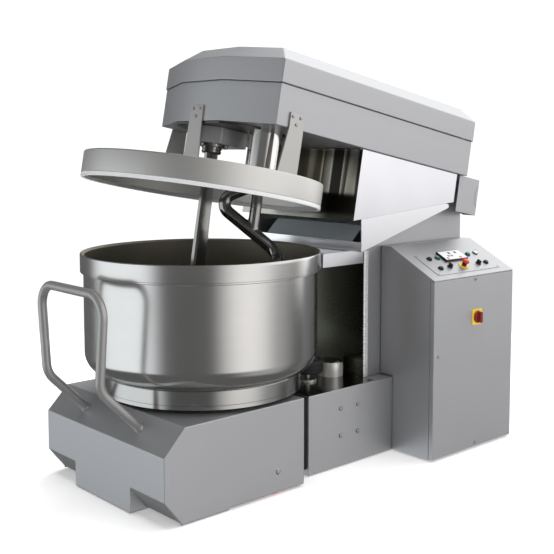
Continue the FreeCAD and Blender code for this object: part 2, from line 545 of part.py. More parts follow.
def make_cabinet():
    shell_out = CAB_OUT - DOOR_DEEP - DOOR_GAP
    outer = prism_y(cabinet_section(0, CAB_OUT), CAB_FRONT, BACK)
    outer = outer.cut(block(shell_out, CAB_OUT + 1, 0, BACK + 1, 0, CAB_SLOPE_Z - 5))
    hollow = prism_y(cabinet_section(SHEET, shell_out + 10), CAB_FRONT + SHEET, BACK - SHEET)
    lip = block(shell_out - 20, shell_out + 20, CAB_FRONT, BACK, 0, CAB_TOP)
    door_way = block(shell_out - 25, CAB_OUT, CAB_FRONT + 22, BACK - 22, 40, CAB_SLOPE_Z - 32)
    hollow = hollow.cut(lip)
    shell = outer.cut(hollow).cut(door_way)
    bracket = block(shell_out - 30, CAB_OUT - 2, BACK - 20, BACK - 1, 8, 11)
    low_pin = rod((HINGE_PIN_X, HINGE_PIN_Y, 10), Z_AXIS, HINGE_PIN_R, 12)
    high_pin = rod((HINGE_PIN_X, HINGE_PIN_Y, CAB_SLOPE_Z - 16), Z_AXIS, HINGE_PIN_R, 14)
    shell = fused([shell, bracket, low_pin, high_pin])
    holes = []
    normal = slope_frame()[1]
    for down, y in [*BUTTONS.values(), *SELECTORS.values(), ESTOP]:
        holes.append(Part.makeCylinder(HOLE_R, 60, on_slope(down, y, -50), normal))
    for hole in holes:
        shell = shell.cut(hole)
    nodes["cabinet_shell"] = shell.cut(rod((CABLE_X, BACK - 10, CABLE_Z), Y_AXIS, CABLE_R, 20))

    plate = slope_block(*PLATE_DOWN, *PLATE_Y, 0, CONTROL_TOP)
    for hole in holes:
        plate = plate.cut(hole)
    nodes["control_plate"] = plate
    nodes["display_panel"] = slope_block(100, 176, 1072, 1240, CONTROL_TOP, CONTROL_TOP + 12)

    collars = []
    for down, y in [*BUTTONS.values(), *SELECTORS.values(), LAMP]:
        ring = Part.makeCylinder(15, COLLAR, on_slope(down, y, CONTROL_TOP), normal)
        collars.append(ring.cut(Part.makeCylinder(HOLE_R, 60, on_slope(down, y, -30), normal)))
    nodes["control_collars"] = group(collars)
    nodes["pilot_lamp"] = Part.makeCylinder(STEM_R, COLLAR + CAP_RISE, on_slope(*LAMP, CONTROL_TOP), normal)
    guard = Part.makeCylinder(ESTOP_RING_R, 3, on_slope(*ESTOP, CONTROL_TOP), normal)
    nodes["estop_ring"] = guard.cut(Part.makeCylinder(HOLE_R, 60, on_slope(*ESTOP, -30), normal))

    for name, (down, y) in BUTTONS.items():
        nodes[name] = Part.makeCylinder(STEM_R, CONTROL_TOP + COLLAR + CAP_RISE + STEM_DEEP,
                                        on_slope(down, y, -STEM_DEEP), normal)
    for name, (down, y) in SELECTORS.items():
        stem = Part.makeCylinder(STEM_R, CONTROL_TOP + COLLAR + 2 + STEM_DEEP,
                                 on_slope(down, y, -STEM_DEEP), normal)
        top = CONTROL_TOP + COLLAR + 1
        grip = slope_block(down - 13, down + 13, y - 4.5, y + 4.5, top, top + 15)
        nodes[name] = fused([stem, grip])
    stalk = Part.makeCylinder(STEM_R, CONTROL_TOP + ESTOP_NECK + STEM_DEEP + 1, on_slope(*ESTOP, -STEM_DEEP),
                              normal)
    head_seat = on_slope(*ESTOP, CONTROL_TOP + ESTOP_NECK)
    mushroom = Part.makeCylinder(ESTOP_HEAD_R, ESTOP_HEAD_HIGH, head_seat, normal)
    mushroom = mushroom.makeFillet(5, [mushroom.Edges[0]])
    nodes["estop_button"] = fused([stalk, mushroom])

    back_x = CAB_IN + 90
    panel = block(back_x, back_x + 3, CAB_FRONT + 40, BACK - 40, 80, 780)
    devices = [block(back_x + 3, back_x + 123, y0, y0 + w, z0, z0 + h) for y0, w, z0, h in
               ((920, 150, 520, 220), (1100, 130, 520, 220))]
    devices += [block(back_x + 3, back_x + 83, 920 + 60 * i, 965 + 60 * i, 330, 415) for i in range(7)]
    devices += [block(back_x + 3, back_x + 63, 920 + 60 * i, 955 + 60 * i, 160, 240) for i in range(7)]
    nodes["electrical_gear"] = group([panel, *devices])

    door_in = CAB_OUT - DOOR_DEEP
    door = block(door_in, CAB_OUT, CAB_FRONT + 1, BACK - 1, 12, CAB_SLOPE_Z - 6)
    door = door.cut(block(door_in - 1, CAB_OUT - SHEET, CAB_FRONT + 4, BACK - 4, 15, CAB_SLOPE_Z - 9))
    shaft_hole = rod((door_in, SWITCH_Y, SWITCH_Z), X_AXIS, 8, 60)
    pin_hole = rod((HINGE_PIN_X, HINGE_PIN_Y, 0), Z_AXIS, HINGE_PIN_R + 0.05, CAB_TOP)
    door = door.cut(shaft_hole).cut(pin_hole)
    latches = []
    for y, z in ((CAB_FRONT + 37, 494), (1165, CAB_SLOPE_Z - 22), (1180, 30)):
        latches.append(rod((CAB_OUT, y, z), X_AXIS, 7, 3))
    nodes["cabinet_door"] = group([door, *latches])
    half = SWITCH_PLATE_HALF
    plate = block(CAB_OUT, CAB_OUT + 4, SWITCH_Y - half, SWITCH_Y + half, SWITCH_Z - half, SWITCH_Z + half)
    nodes["switch_plate"] = plate.cut(shaft_hole)
    disc = rod((CAB_OUT + 4.5, SWITCH_Y, SWITCH_Z), X_AXIS, SWITCH_DISC_R, 12)
    grip = block(CAB_OUT + 16, CAB_OUT + 32, SWITCH_Y - 8, SWITCH_Y + 8,
                 SWITCH_Z - SWITCH_DISC_R + 2, SWITCH_Z + SWITCH_DISC_R - 2)
    spindle = rod((CAB_OUT - 20, SWITCH_Y, SWITCH_Z), X_AXIS, 7.95, 25)
    nodes["main_switch_knob"] = fused([disc, grip, spindle])


# ---- head -----------------------------------------------------------------------------
def head_outline(inset, back_inset):
    """Plan of the head, (x, y) points, drawn in by an inset."""
    run = HEAD_HALF - FACET_HALF
    slant = math.hypot(run, FACET_DEEP)
    front = HEAD_FRONT + inset
    shift_x = -inset * FACET_DEEP / slant
    shift_y = inset * run / slant
    t0 = (front - HEAD_FRONT - shift_y) / FACET_DEEP
    x0 = FACET_HALF + shift_x + t0 * run
    half = HEAD_HALF - inset
    t1 = (half - FACET_HALF - shift_x) / run
    y1 = HEAD_FRONT + shift_y + t1 * FACET_DEEP
    right = [(x0, front), (half, y1), (half, HEAD_BACK - back_inset)]
    return right + [(-x, y) for x, y in reversed(right)]


def wire_at(outline, z):
    points = [Vector(x, y, z) for x, y in outline]
    return Part.makePolygon([*points, points[0]])


def make_head_casing():
    wall = 4.0
    shell = prism_z(head_outline(0, 0), HEAD_BOTTOM, HEAD_SEAM)
    shell = shell.cut(prism_z(head_outline(wall, wall), HEAD_BOTTOM + 8, HEAD_SEAM + 1))
    shell = shell.cut(rod((SPIRAL_X, SPIRAL_Y, HEAD_BOTTOM - 1), Z_AXIS, HOUSING_R - 10, 20))
    nodes["head_shell"] = shell

    lip = -5.0
    low = HEAD_SEAM + 1.5
    sides = prism_z(head_outline(lip, lip), low, LID_SIDE_TOP)
    chamfer = Part.makeLoft([wire_at(head_outline(lip, lip), LID_SIDE_TOP),
                             wire_at(head_outline(78, 27), LID_TOP)], True, True)
    inner = prism_z(head_outline(lip + wall, lip + wall), low - 1, LID_SIDE_TOP - 2)
    inner_top = Part.makeLoft([wire_at(head_outline(lip + wall, lip + wall), LID_SIDE_TOP - 2.01),
                               wire_at(head_outline(80, 29), LID_TOP - wall)], True, True)
    lid = sides.fuse(chamfer).cut(inner).cut(inner_top)
    nodes["head_lid"] = lid.removeSplitter()


def make_arm():
    outline = [(ARM_BACK, HEAD_BOTTOM - 4), (600, HEAD_BOTTOM - 4), (600, 1240), (820, 1222),
               (1100, 1168), (1215, 1112), (ARM_BACK, 1112)]
    plate = prism_x(outline, ARM_PLATE_IN, ARM_PLATE_OUT)
    boss = rod((ARM_PLATE_IN, HINGE_Y, HINGE_Z), X_AXIS, ARM_BOSS_R, ARM_PLATE_OUT - ARM_PLATE_IN)
    plate = plate.fuse(boss)
    deck = block(-ARM_PLATE_OUT, ARM_PLATE_OUT, 600, ARM_BACK, HEAD_BOTTOM - 18, HEAD_BOTTOM - 4)
    pin_y, pin_z = LIFT_HEAD
    ear = [(pin_y - 30, HEAD_BOTTOM - 18), (pin_y + 30, HEAD_BOTTOM - 18), (pin_y + 24, pin_z - 22),
           (pin_y - 24, pin_z - 22)]
    ears = [prism_x(ear, x0, x0 + 10) for x0 in (-34, 24)]
    pin = rod((-34, pin_y, pin_z), X_AXIS, 12, 68)
    frame = fused([plate, mirrored(plate), deck, *ears, pin])
    bore = rod((-400, HINGE_Y, HINGE_Z), X_AXIS, 38, 800)
    nodes["arm_frame"] = frame.cut(bore)
    bush = sleeve((ARM_PLATE_IN - 2, HINGE_Y, HINGE_Z), X_AXIS, 38, HINGE_R + 0.05, 20)
    nodes["hinge_bushes"] = group([bush, mirrored(bush)])

    top = HEAD_BOTTOM - 2
    cheek = prism_x([(577, 998), (1285, 1186), (1285, top), (577, top)], ARM_HALF - SHEET, ARM_HALF)
    wall = block(-ARM_HALF, ARM_HALF, 577, 577 + SHEET, 998, top)
    flange = block(-ARM_HALF + SHEET, ARM_HALF - SHEET, 562, 577, top - SHEET, top)
    nodes["arm_casing"] = fused([cheek, mirrored(cheek), wall, flange])

    half = ARM_HALF
    cover = block(-half, half, 1310, 1477, 1144, top)
    cover = cover.cut(block(-half + SHEET, half - SHEET, 1300, 1477 - SHEET, 1100, top - SHEET))
    middle = block(-314, 314, 1300, 1480, 1140, 1250)
    webs = [prism_x([(1310, 1147), (1476, 1147), (1476, 1250), (1310, 1250)], x0, x0 + SHEET)
            for x0 in (-317, 314)]
    cover = fused([cover.cut(middle), *webs])
    arc = sleeve((ARM_HALF - 3, 1540, 1240), X_AXIS, 84, 80, 5)
    arc = arc.common(block(ARM_HALF - 1, ARM_HALF + 2, 1440, 1474, 1180, 1300))
    nodes["rear_hinge_cover"] = fused([cover, arc, mirrored(arc)])


def make_tool_head():
    plate_z = HEAD_BOTTOM - UNDER_PLATE
    plate_y, plate_r = 118, 250
    plate = rod((0, plate_y, plate_z), Z_AXIS, plate_r, UNDER_PLATE)
    room = block(-plate_r, plate_r, HEAD_FRONT + 4, plate_y + plate_r, plate_z - 1, HEAD_BOTTOM)
    plate = plate.common(room)
    plate = plate.cut(rod((SPIRAL_X, SPIRAL_Y, plate_z - 1), Z_AXIS, HOUSING_R, 40))
    nodes["underside_plate"] = plate

    block_z = plate_z - BAR_BLOCK_HIGH
    pad_half, pad_back, pad_cut = 78, 132, 62
    pad = block(-pad_half, pad_half, BAR_Y - pad_half, BAR_Y + pad_back, block_z, plate_z)
    corners = []
    for side in (-1, 1):              # broad flat faces instead of the two front corners
        corner = (side * pad_half, BAR_Y - pad_half)
        outline = [corner, (corner[0], corner[1] + pad_cut), (corner[0] - side * pad_cut, corner[1])]
        corners.append(prism_z(outline, block_z, plate_z))
    nodes["bar_block"] = pad.cut(fused(corners))
    collar_r, collar_high, flange_r, flange_high = 44, 42, 56, 14
    nut_r, nut_high = 9, 16
    collar = fused([rod((0, BAR_Y, block_z - collar_high), Z_AXIS, collar_r, collar_high),
                    rod((0, BAR_Y, block_z - flange_high), Z_AXIS, flange_r, flange_high)])
    nuts = []
    for angle in (0.6, 2.5, 5.6):     # radians round from +X
        nut_x = flange_r * math.cos(angle)
        nut_y = BAR_Y + 8 + flange_r * math.sin(angle)
        nuts.append(rod((nut_x, nut_y, block_z - nut_high), Z_AXIS, nut_r, nut_high))
    bar_hole = block(-20, 20, BAR_Y - 34, BAR_Y + 36, block_z - 60, block_z)
    nodes["bar_clamp"] = fused([collar, *nuts]).cut(bar_hole)

    def section(half_x, half_y, z):
        bevel = min(half_x, half_y) * 0.45
        points = [(half_x, -half_y + bevel), (half_x, half_y - bevel), (half_x - bevel, half_y),
                  (bevel - half_x, half_y), (-half_x, half_y - bevel), (-half_x, -half_y + bevel),
                  (bevel - half_x, -half_y), (half_x - bevel, -half_y)]
        y = BAR_Y + BAR_LEAN * (block_z - z) / (block_z - foot_z)
        return wire_at([(px, y + py) for px, py in points], z)

    foot_z = 512.0
    bar = Part.makeLoft([section(18, 32, block_z), section(14, 30, 1090), section(17, 33, 860),
                         section(18, 34, 560), section(10, 22, foot_z)], True, True)
    nodes["breaker_bar"] = bar

    low = 1108.0
    nodes["spiral_housing"] = sleeve((SPIRAL_X, SPIRAL_Y, low), Z_AXIS, HOUSING_R, 40, HEAD_BOTTOM - low)


def spiral_route():
    """Corners of the dough spiral's centre line about its own axis, and the bend at each inner one."""
    out = math.radians(228)           # the way the upper arm swings out
    elbow = (180.0, 992.0)
    crossing = (-170.0, 775.0)
    points = [(0, 0, 1097)]
    for reach, z in (elbow, crossing):
        points.append((reach * math.cos(out), reach * math.sin(out), z))
    bends = [46, 78]
    turns = 5
    for turn in range(1, turns + 1):
        angle = out + math.pi - math.radians(62) * turn
        z = 735 - (735 - 517) * (turn - 1) / (turns - 1)
        points.append((165 * math.cos(angle), 165 * math.sin(angle), z))
        bends.append(105)
    return points, bends[:-1]


def make_spiral():
    route, bends = spiral_route()
    points = [(SPIRAL_X + x, SPIRAL_Y + y, z) for x, y, z in route]
    coil = bent_tube(points, SPIRAL_ROD_R, bends)
    tip = Part.makeSphere(SPIRAL_ROD_R, Vector(*points[-1]))
    stem = rod((SPIRAL_X, SPIRAL_Y, 880), Z_AXIS, SPIRAL_STEM_R, 230)
    root = rod((SPIRAL_X, SPIRAL_Y, 1070), Z_AXIS, 38, 60)
    shaft = rod((SPIRAL_X, SPIRAL_Y, 1125), Z_AXIS, 30, 410)
    head = rod((SPIRAL_X, SPIRAL_Y, 1107), Z_AXIS, 39.95, 40)
    tool = fused([coil, tip, stem, root, head, shaft])
    nodes["spiral_tool"] = tool
    bore = rod((SPIRAL_X, SPIRAL_Y, BELT_Z - 10), Z_AXIS, 30, 120)
    pulley = fused([rod((SPIRAL_X, SPIRAL_Y, BELT_Z), Z_AXIS, SPIRAL_PULLEY_R, BELT_HIGH + 4),
                    rod((SPIRAL_X, SPIRAL_Y, BELT_Z - 6), Z_AXIS, 60, 70)])
    nodes["spiral_pulley"] = pulley.cut(bore)


def make_head_drive():
    x, y = MOTOR_PULLEY_X, MOTOR_PULLEY_Y
    floor_z = HEAD_BOTTOM + 8
    motor_r, shaft_r = 118, 19
    motor = rod((x, y, floor_z + 2), Z_AXIS, motor_r, 92)
    motor = motor.cut(rod((x, y, floor_z + 40), Z_AXIS, shaft_r + 0.05, 100))
    mount = block(x - 150, x + 150, y - 130, y + 130, floor_z, floor_z + WALL)
    mount = mount.cut(rod((x, y, floor_z - 1), Z_AXIS, motor_r, 20))
    nodes["spiral_motor"] = group([motor, mount])
    pulley = rod((x, y, BELT_Z), Z_AXIS, MOTOR_PULLEY_R, BELT_HIGH + 4)
    shaft = rod((x, y, floor_z + 42), Z_AXIS, shaft_r, 80)
    nodes["motor_pulley"] = fused([pulley, shaft])

    dx = x - SPIRAL_X
    dy = y - SPIRAL_Y
    apart = math.hypot(dx, dy)
    heading = math.atan2(dy, dx)

    def loop(extra):
        big = SPIRAL_PULLEY_R + extra
        small = MOTOR_PULLEY_R + extra
        lean = math.acos((big - small) / apart)
        touches = [(SPIRAL_X, SPIRAL_Y, big, heading + lean), (x, y, small, heading + lean),
                   (x, y, small, heading - lean), (SPIRAL_X, SPIRAL_Y, big, heading - lean)]
        corners = []
        for cx, cy, radius, angle in touches:
            corners.append((cx + radius * math.cos(angle), cy + radius * math.sin(angle)))
        flat = prism_z(corners, BELT_Z + 2, BELT_Z + 2 + BELT_HIGH)
        round_big = rod((SPIRAL_X, SPIRAL_Y, BELT_Z + 2), Z_AXIS, big, BELT_HIGH)
        round_small = rod((x, y, BELT_Z + 2), Z_AXIS, small, BELT_HIGH)
        return flat.fuse(round_big).fuse(round_small)

    nodes["drive_belt"] = loop(8).cut(loop(0.3))


def make_guard():
    disc = turned([(0, GUARD_TOP - SHEET), (GUARD_R - SHEET, GUARD_TOP - SHEET),
                   (GUARD_R - SHEET, GUARD_BOTTOM + LIP_HEIGHT), (GUARD_R, GUARD_BOTTOM + LIP_HEIGHT),
                   (GUARD_R, GUARD_TOP), (0, GUARD_TOP)])
    disc = disc.cut(rod((0, BAR_Y, GUARD_TOP - 20), Z_AXIS, BAR_HOLE_R, 40))
    disc = disc.cut(rod((SPIRAL_X, SPIRAL_Y, GUARD_TOP - 20), Z_AXIS, HOUSING_R + 3, 40))
    nodes["guard_disc"] = disc
    nodes["guard_lip"] = turned([(GUARD_R - 16, GUARD_BOTTOM), (GUARD_R, GUARD_BOTTOM),
                                 (GUARD_R, GUARD_BOTTOM + LIP_HEIGHT),
                                 (GUARD_R - 16, GUARD_BOTTOM + LIP_HEIGHT)])

    thick = 8.0
    front = prism_y([(-43, 1400), (43, 1400), (46, 1330), (58, GUARD_TOP), (-50, GUARD_TOP), (-44, 1330)],
                    HEAD_FRONT - thick, HEAD_FRONT)
    side = prism_x([(89, 1396), (159, 1396), (172, 1330), (170, GUARD_TOP), (54, GUARD_TOP), (89, 1330)],
                   HEAD_HALF, HEAD_HALF + thick)
    bolts = []
    for x, z in ((-24, 1384), (24, 1384), (0, 1350)):
        bolts.append(rod((x, HEAD_FRONT - thick - 4, z), Y_AXIS, 6.5, 4))
    for y, z in ((104, 1380), (148, 1380), (128, 1348)):
        for side_way in (-1, 1):
            bolts.append(rod((side_way * (HEAD_HALF + thick), y, z), X_AXIS * side_way, 6.5, 4))
    nodes["guard_straps"] = group([front, side, mirrored(side), *bolts])


# every node that leans back with the head
HEAD_NODES = ("head_shell", "head_lid", "arm_frame", "hinge_bushes", "arm_casing", "rear_hinge_cover",
              "underside_plate", "bar_block", "bar_clamp", "breaker_bar", "spiral_housing",
              "guard_disc", "guard_lip", "guard_straps", "spiral_motor", "drive_belt",
              "motor_pulley", "spiral_tool", "spiral_pulley")


def build():
    make_base()
    make_bowl_drive()
    make_column()
    make_neck()
    make_lift()
    make_hydraulics()
    make_trolley()
    make_bowl()
    make_cabinet()
    make_head_casing()
    make_arm()
    make_tool_head()
    make_spiral()
    make_head_drive()
    make_guard()
    for name in HEAD_NODES:
        nodes[name] = raise_head(nodes[name])


def machine_shift():
    """Move that brings the bottom centre of the whole machine's box to the origin."""
    box = Part.makeCompound(list(nodes.values())).optimalBoundingBox(False, False)
    print("nodes", len(nodes), "box", round(box.XLength, 2), round(box.YLength, 2), round(box.ZLength, 2),
          "lowest", round(box.ZMin, 3))
    return Vector(-(box.XMin + box.XMax) / 2, -(box.YMin + box.YMax) / 2, 0)


def export():
    shift = machine_shift()
    print("shift", round(shift.x, 4), round(shift.y, 4))
    os.makedirs("parts", exist_ok=True)
    for name, shape in nodes.items():
        placed = shape.copy()
        placed.translate(shift)
        if not placed.isValid():
            print("invalid", name)
        placed.exportStep("parts/" + name + ".step")


build()
export()
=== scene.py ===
import bpy
import bmesh
import json
import math
from mathutils import Matrix, Vector


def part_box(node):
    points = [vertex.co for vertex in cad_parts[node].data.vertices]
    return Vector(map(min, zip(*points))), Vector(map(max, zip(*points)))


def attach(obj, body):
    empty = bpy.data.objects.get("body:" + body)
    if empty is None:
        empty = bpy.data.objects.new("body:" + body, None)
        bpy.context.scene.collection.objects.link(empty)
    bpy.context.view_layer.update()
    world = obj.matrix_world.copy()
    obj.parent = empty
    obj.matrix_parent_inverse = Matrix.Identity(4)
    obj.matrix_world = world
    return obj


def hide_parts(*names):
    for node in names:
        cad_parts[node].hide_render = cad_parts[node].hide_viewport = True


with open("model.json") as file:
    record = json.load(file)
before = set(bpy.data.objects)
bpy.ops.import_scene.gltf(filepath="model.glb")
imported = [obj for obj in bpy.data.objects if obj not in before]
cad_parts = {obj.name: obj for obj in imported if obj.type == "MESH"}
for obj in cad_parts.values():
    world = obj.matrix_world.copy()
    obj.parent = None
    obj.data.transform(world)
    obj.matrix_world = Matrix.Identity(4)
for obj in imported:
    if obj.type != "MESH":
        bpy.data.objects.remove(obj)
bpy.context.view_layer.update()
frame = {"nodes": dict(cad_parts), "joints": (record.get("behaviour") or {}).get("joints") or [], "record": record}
millimetre = 0.001


# shader maths: one socket wrapper, so that a finish reads as a sum
class Wire:
    def __init__(self, finish, socket):
        self.finish = finish
        self.socket = socket

    def maths(self, operation, left, right=None, clamp=False):
        values = {0: left} if right is None else {0: left, 1: right}
        return self.finish.node("ShaderNodeMath", {"operation": operation, "use_clamp": clamp}, values)

    def __add__(self, other):
        return self.maths("ADD", self, other)

    def __radd__(self, other):
        return self.maths("ADD", other, self)

    def __sub__(self, other):
        return self.maths("SUBTRACT", self, other)

    def __rsub__(self, other):
        return self.maths("SUBTRACT", other, self)

    def __mul__(self, other):
        return self.maths("MULTIPLY", self, other)

    def __rmul__(self, other):
        return self.maths("MULTIPLY", other, self)

    def __pow__(self, other):
        return self.maths("POWER", self, other)

    def __rpow__(self, other):
        return self.maths("POWER", other, self)

    def size(self):
        return self.maths("ABSOLUTE", self)

    def ease(self, low, high):
        return self.finish.node("ShaderNodeMapRange", {"interpolation_type": "SMOOTHSTEP"},
                                {0: self, 1: low, 2: high, 3: 0.0, 4: 1.0})


class Graph:
    def __init__(self, tree):
        self.tree = tree

    def node(self, kind, settings, values, output=0):
        made = self.tree.nodes.new(kind)
        for key, value in settings.items():
            if key == "stops":
                self.setStops(made.color_ramp, value)
            else:
                setattr(made, key, value)
        for key, value in values.items():
            self.feed(made.inputs[key], value)
        return Wire(self, made.outputs[output])

    def setStops(self, ramp, stops):
        while len(ramp.elements) < len(stops):
            ramp.elements.new(1.0)
        for element, (position, colour) in zip(ramp.elements, stops):
            element.position = position
            element.color = (*colour, 1.0)

    def feed(self, socket, value):
        if isinstance(value, Wire):
            self.tree.links.new(value.socket, socket)
        else:
            socket.default_value = value

    def spot(self, output="Object"):
        return self.node("ShaderNodeTexCoord", {}, {}, output)

    def blend(self, factor, low, high):
        return self.node("ShaderNodeMix", {"data_type": "RGBA"}, {0: factor, 6: low, 7: high}, 2)

    def axis(self, letter, output="Object"):
        return self.node("ShaderNodeSeparateXYZ", {}, {0: self.spot(output)}, letter)


class Finish(Graph):
    def __init__(self, name, constants):
        self.material = bpy.data.materials.new(name)
        self.material.use_nodes = True
        super().__init__(self.material.node_tree)
        self.tree.nodes.clear()
        self.shader = self.tree.nodes.new("ShaderNodeBsdfPrincipled")
        output = self.tree.nodes.new("ShaderNodeOutputMaterial")
        self.tree.links.new(self.shader.outputs[0], output.inputs[0])
        for socketName, value in constants.items():
            self.shader.inputs[socketName].default_value = value

    def varies(self, socketName, wire):
        self.feed(self.shader.inputs[socketName], wire)

    def stretched(self, scale, output="Object"):
        return self.node("ShaderNodeMapping", {}, {"Vector": self.spot(output), "Scale": scale})

    def noise(self, scale, detail=2.0, stretch=(1.0, 1.0, 1.0)):
        place = self.stretched(stretch)
        return self.node("ShaderNodeTexNoise", {}, {"Vector": place, "Scale": scale, "Detail": detail})

    def cells(self, scale):
        return self.node("ShaderNodeTexVoronoi", {}, {"Vector": self.spot(), "Scale": scale})

    def normalAxis(self, letter):
        return self.axis(letter, "Normal")

    def bump(self, height, strength, depth):
        dent = self.node("ShaderNodeBump", {}, {"Strength": strength, "Distance": depth, "Height": height})
        self.varies("Normal", dent)


def rgba(red, green, blue):
    return (red, green, blue, 1.0)


# finishes
def hammeredPaint(name, low, high, rough=0.36, metal=0.78):
    finish = Finish(name, {"Metallic": metal, "Coat Weight": 0.10, "Coat Roughness": 0.3})
    grain = finish.noise(900.0, 2.0)
    cloud = finish.noise(3.0, 3.0)
    mask = grain * 0.7 + cloud * 0.3
    finish.varies("Base Color", finish.blend(mask, low, high))
    finish.varies("Roughness", rough + grain * 0.12 + cloud * 0.05)
    finish.bump(finish.cells(420.0) * 0.6 + grain * 0.4, 0.10, 0.0006)
    return finish.material


def satinSheet(name, low, high, rough, stretch, brush=700.0, streak=9.0, anisotropic=0.0, metal=1.0):
    finish = Finish(name, {"Metallic": metal, "Anisotropic": anisotropic})
    lines = finish.noise(brush, 3.0, stretch)
    cloud = finish.noise(streak, 2.0)
    finish.varies("Base Color", finish.blend(lines * 0.5 + cloud * 0.5, low, high))
    finish.varies("Roughness", rough + lines * 0.10 + cloud * 0.06)
    finish.bump(lines, 0.06, 0.0004)
    return finish.material


def polishedTool(name, low, high, rough):
    finish = Finish(name, {"Metallic": 1.0})
    scratches = finish.noise(260.0, 4.0, (1.0, 1.0, 0.12))
    cloud = finish.noise(14.0, 3.0)
    finish.varies("Base Color", finish.blend(cloud, low, high))
    finish.varies("Roughness", rough + scratches * 0.08 + cloud * 0.06)
    finish.bump(scratches * 0.5 + cloud * 0.5, 0.05, 0.001)
    return finish.material


def mouldedPlastic(name, low, high, rough, grainScale=1400.0):
    finish = Finish(name, {"Specular IOR Level": 0.5})
    grain = finish.noise(grainScale, 2.0)
    cloud = finish.noise(60.0, 2.0)
    finish.varies("Base Color", finish.blend(grain * 0.4 + cloud * 0.6, low, high))
    finish.varies("Roughness", rough + grain * 0.12)
    finish.bump(grain, 0.05, 0.0003)
    return finish.material


def castMetal(name, low, high, rough):
    finish = Finish(name, {"Metallic": 0.3})
    lumps = finish.noise(160.0, 4.0)
    stain = finish.noise(7.0, 4.0)
    finish.varies("Base Color", finish.blend(lumps * 0.5 + stain * 0.5, low, high))
    finish.varies("Roughness", rough + lumps * 0.15)
    finish.bump(lumps, 0.2, 0.0012)
    return finish.material


def roundBrushed(name, low, high, rough, anisotropic):
    finish = Finish(name, {"Metallic": 1.0, "Anisotropic": anisotropic})
    rings = finish.noise(420.0, 3.0, (0.02, 0.02, 1.0))
    cloud = finish.noise(5.0, 2.0)
    finish.varies("Base Color", finish.blend(rings * 0.6 + cloud * 0.4, low, high))
    finish.varies("Roughness", rough + rings * 0.08)
    finish.bump(rings, 0.03, 0.0003)
    return finish.material


def bowlSheet(name, low, high, inside, middle):
    # brushed round outside; duller inside, where the darker brown colour is painted shade and painted reflection
    finish = Finish(name, {"Metallic": 1.0, "Anisotropic": 0.6})
    rings = finish.noise(420.0, 3.0, (0.02, 0.02, 1.0))
    cloud = finish.noise(5.0, 2.0)
    outward = ((finish.axis("X") - middle.x) * finish.normalAxis("X")
               + (finish.axis("Y") - middle.y) * finish.normalAxis("Y"))
    inner = 1 - outward.ease(-0.05, 0.02)
    outer = finish.blend(rings * 0.6 + cloud * 0.4, low, high)
    finish.varies("Base Color", finish.blend(inner, outer, inside))
    finish.varies("Roughness", 0.15 + rings * 0.08 + inner * 0.27)
    finish.bump(rings, 0.03, 0.0003)
    return finish.material


def flatBrushed(name, low, high, rough, stretch):
    return satinSheet(name, low, high, rough, stretch, brush=500.0, streak=2.2)


def armSheet(name, wallFoot):
    # bright cheeks; the front wall, the same steel, is painted as a dark mirror: upright bands of painted
    # reflection and a plain foot of painted reflection that darkens towards +X
    finish = Finish(name, {"Metallic": 1.0})
    # faces turned to -Y get the front wall's painted dark reflection
    front = (finish.normalAxis("Y") * -1).ease(0.5, 0.8)
    reflectionBands = finish.node("ShaderNodeValToRGB", {"stops": paintedArmReflections},
                        {0: finish.noise(5.5, 1.0, (1.6, 0.0, 0.03))})
    # near the foot the wall gets a plain painted reflection, light at low X and dark towards +X
    foot = 1 - (finish.axis("Z") - wallFoot).ease(0.10, 0.13)
    paintedPlain = finish.blend(finish.axis("X").ease(0.03, 0.16), rgba(0.50, 0.50, 0.45), rgba(0.05, 0.048, 0.04))
    wall = finish.blend(foot, reflectionBands, paintedPlain)
    # soft diagonal streaks in the cheeks' colour are painted highlights
    sheenSweep = finish.noise(2.4, 2.0, (0.2, 1.0, 0.7))
    cheek = finish.blend(sheenSweep, rgba(0.74, 0.74, 0.77), rgba(0.95, 0.95, 0.97))
    finish.varies("Base Color", finish.blend(front, cheek, wall))
    lines = finish.noise(500.0, 3.0, (0.04, 1.0, 1.0))
    finish.varies("Roughness", 0.16 + lines * 0.08 + sheenSweep * 0.06)
    finish.bump(lines, 0.05, 0.0003)
    return finish.material


def highlightedSheet(name, low, high, highlightLow, highlightHigh, facing, rough):
    # dark polished sheet, its dark tone painted shade, whose parts that face one way are bright with a painted
    # highlight and duller
    finish = Finish(name, {})
    lines = finish.noise(420.0, 3.0, (0.05, 0.05, 1.0))
    cloud = finish.noise(3.0, 3.0)
    mask = facing(finish)
    paintedPlain = finish.blend(cloud, low, high)
    finish.varies("Base Color", finish.blend(mask, paintedPlain, finish.blend(lines, highlightLow, highlightHigh)))
    finish.varies("Metallic", 1 - mask * 0.6)
    finish.varies("Roughness", rough + lines * 0.05 + cloud * 0.05)
    finish.bump(lines * 0.6 + cloud * 0.4, 0.04, 0.0003)
    return finish.material
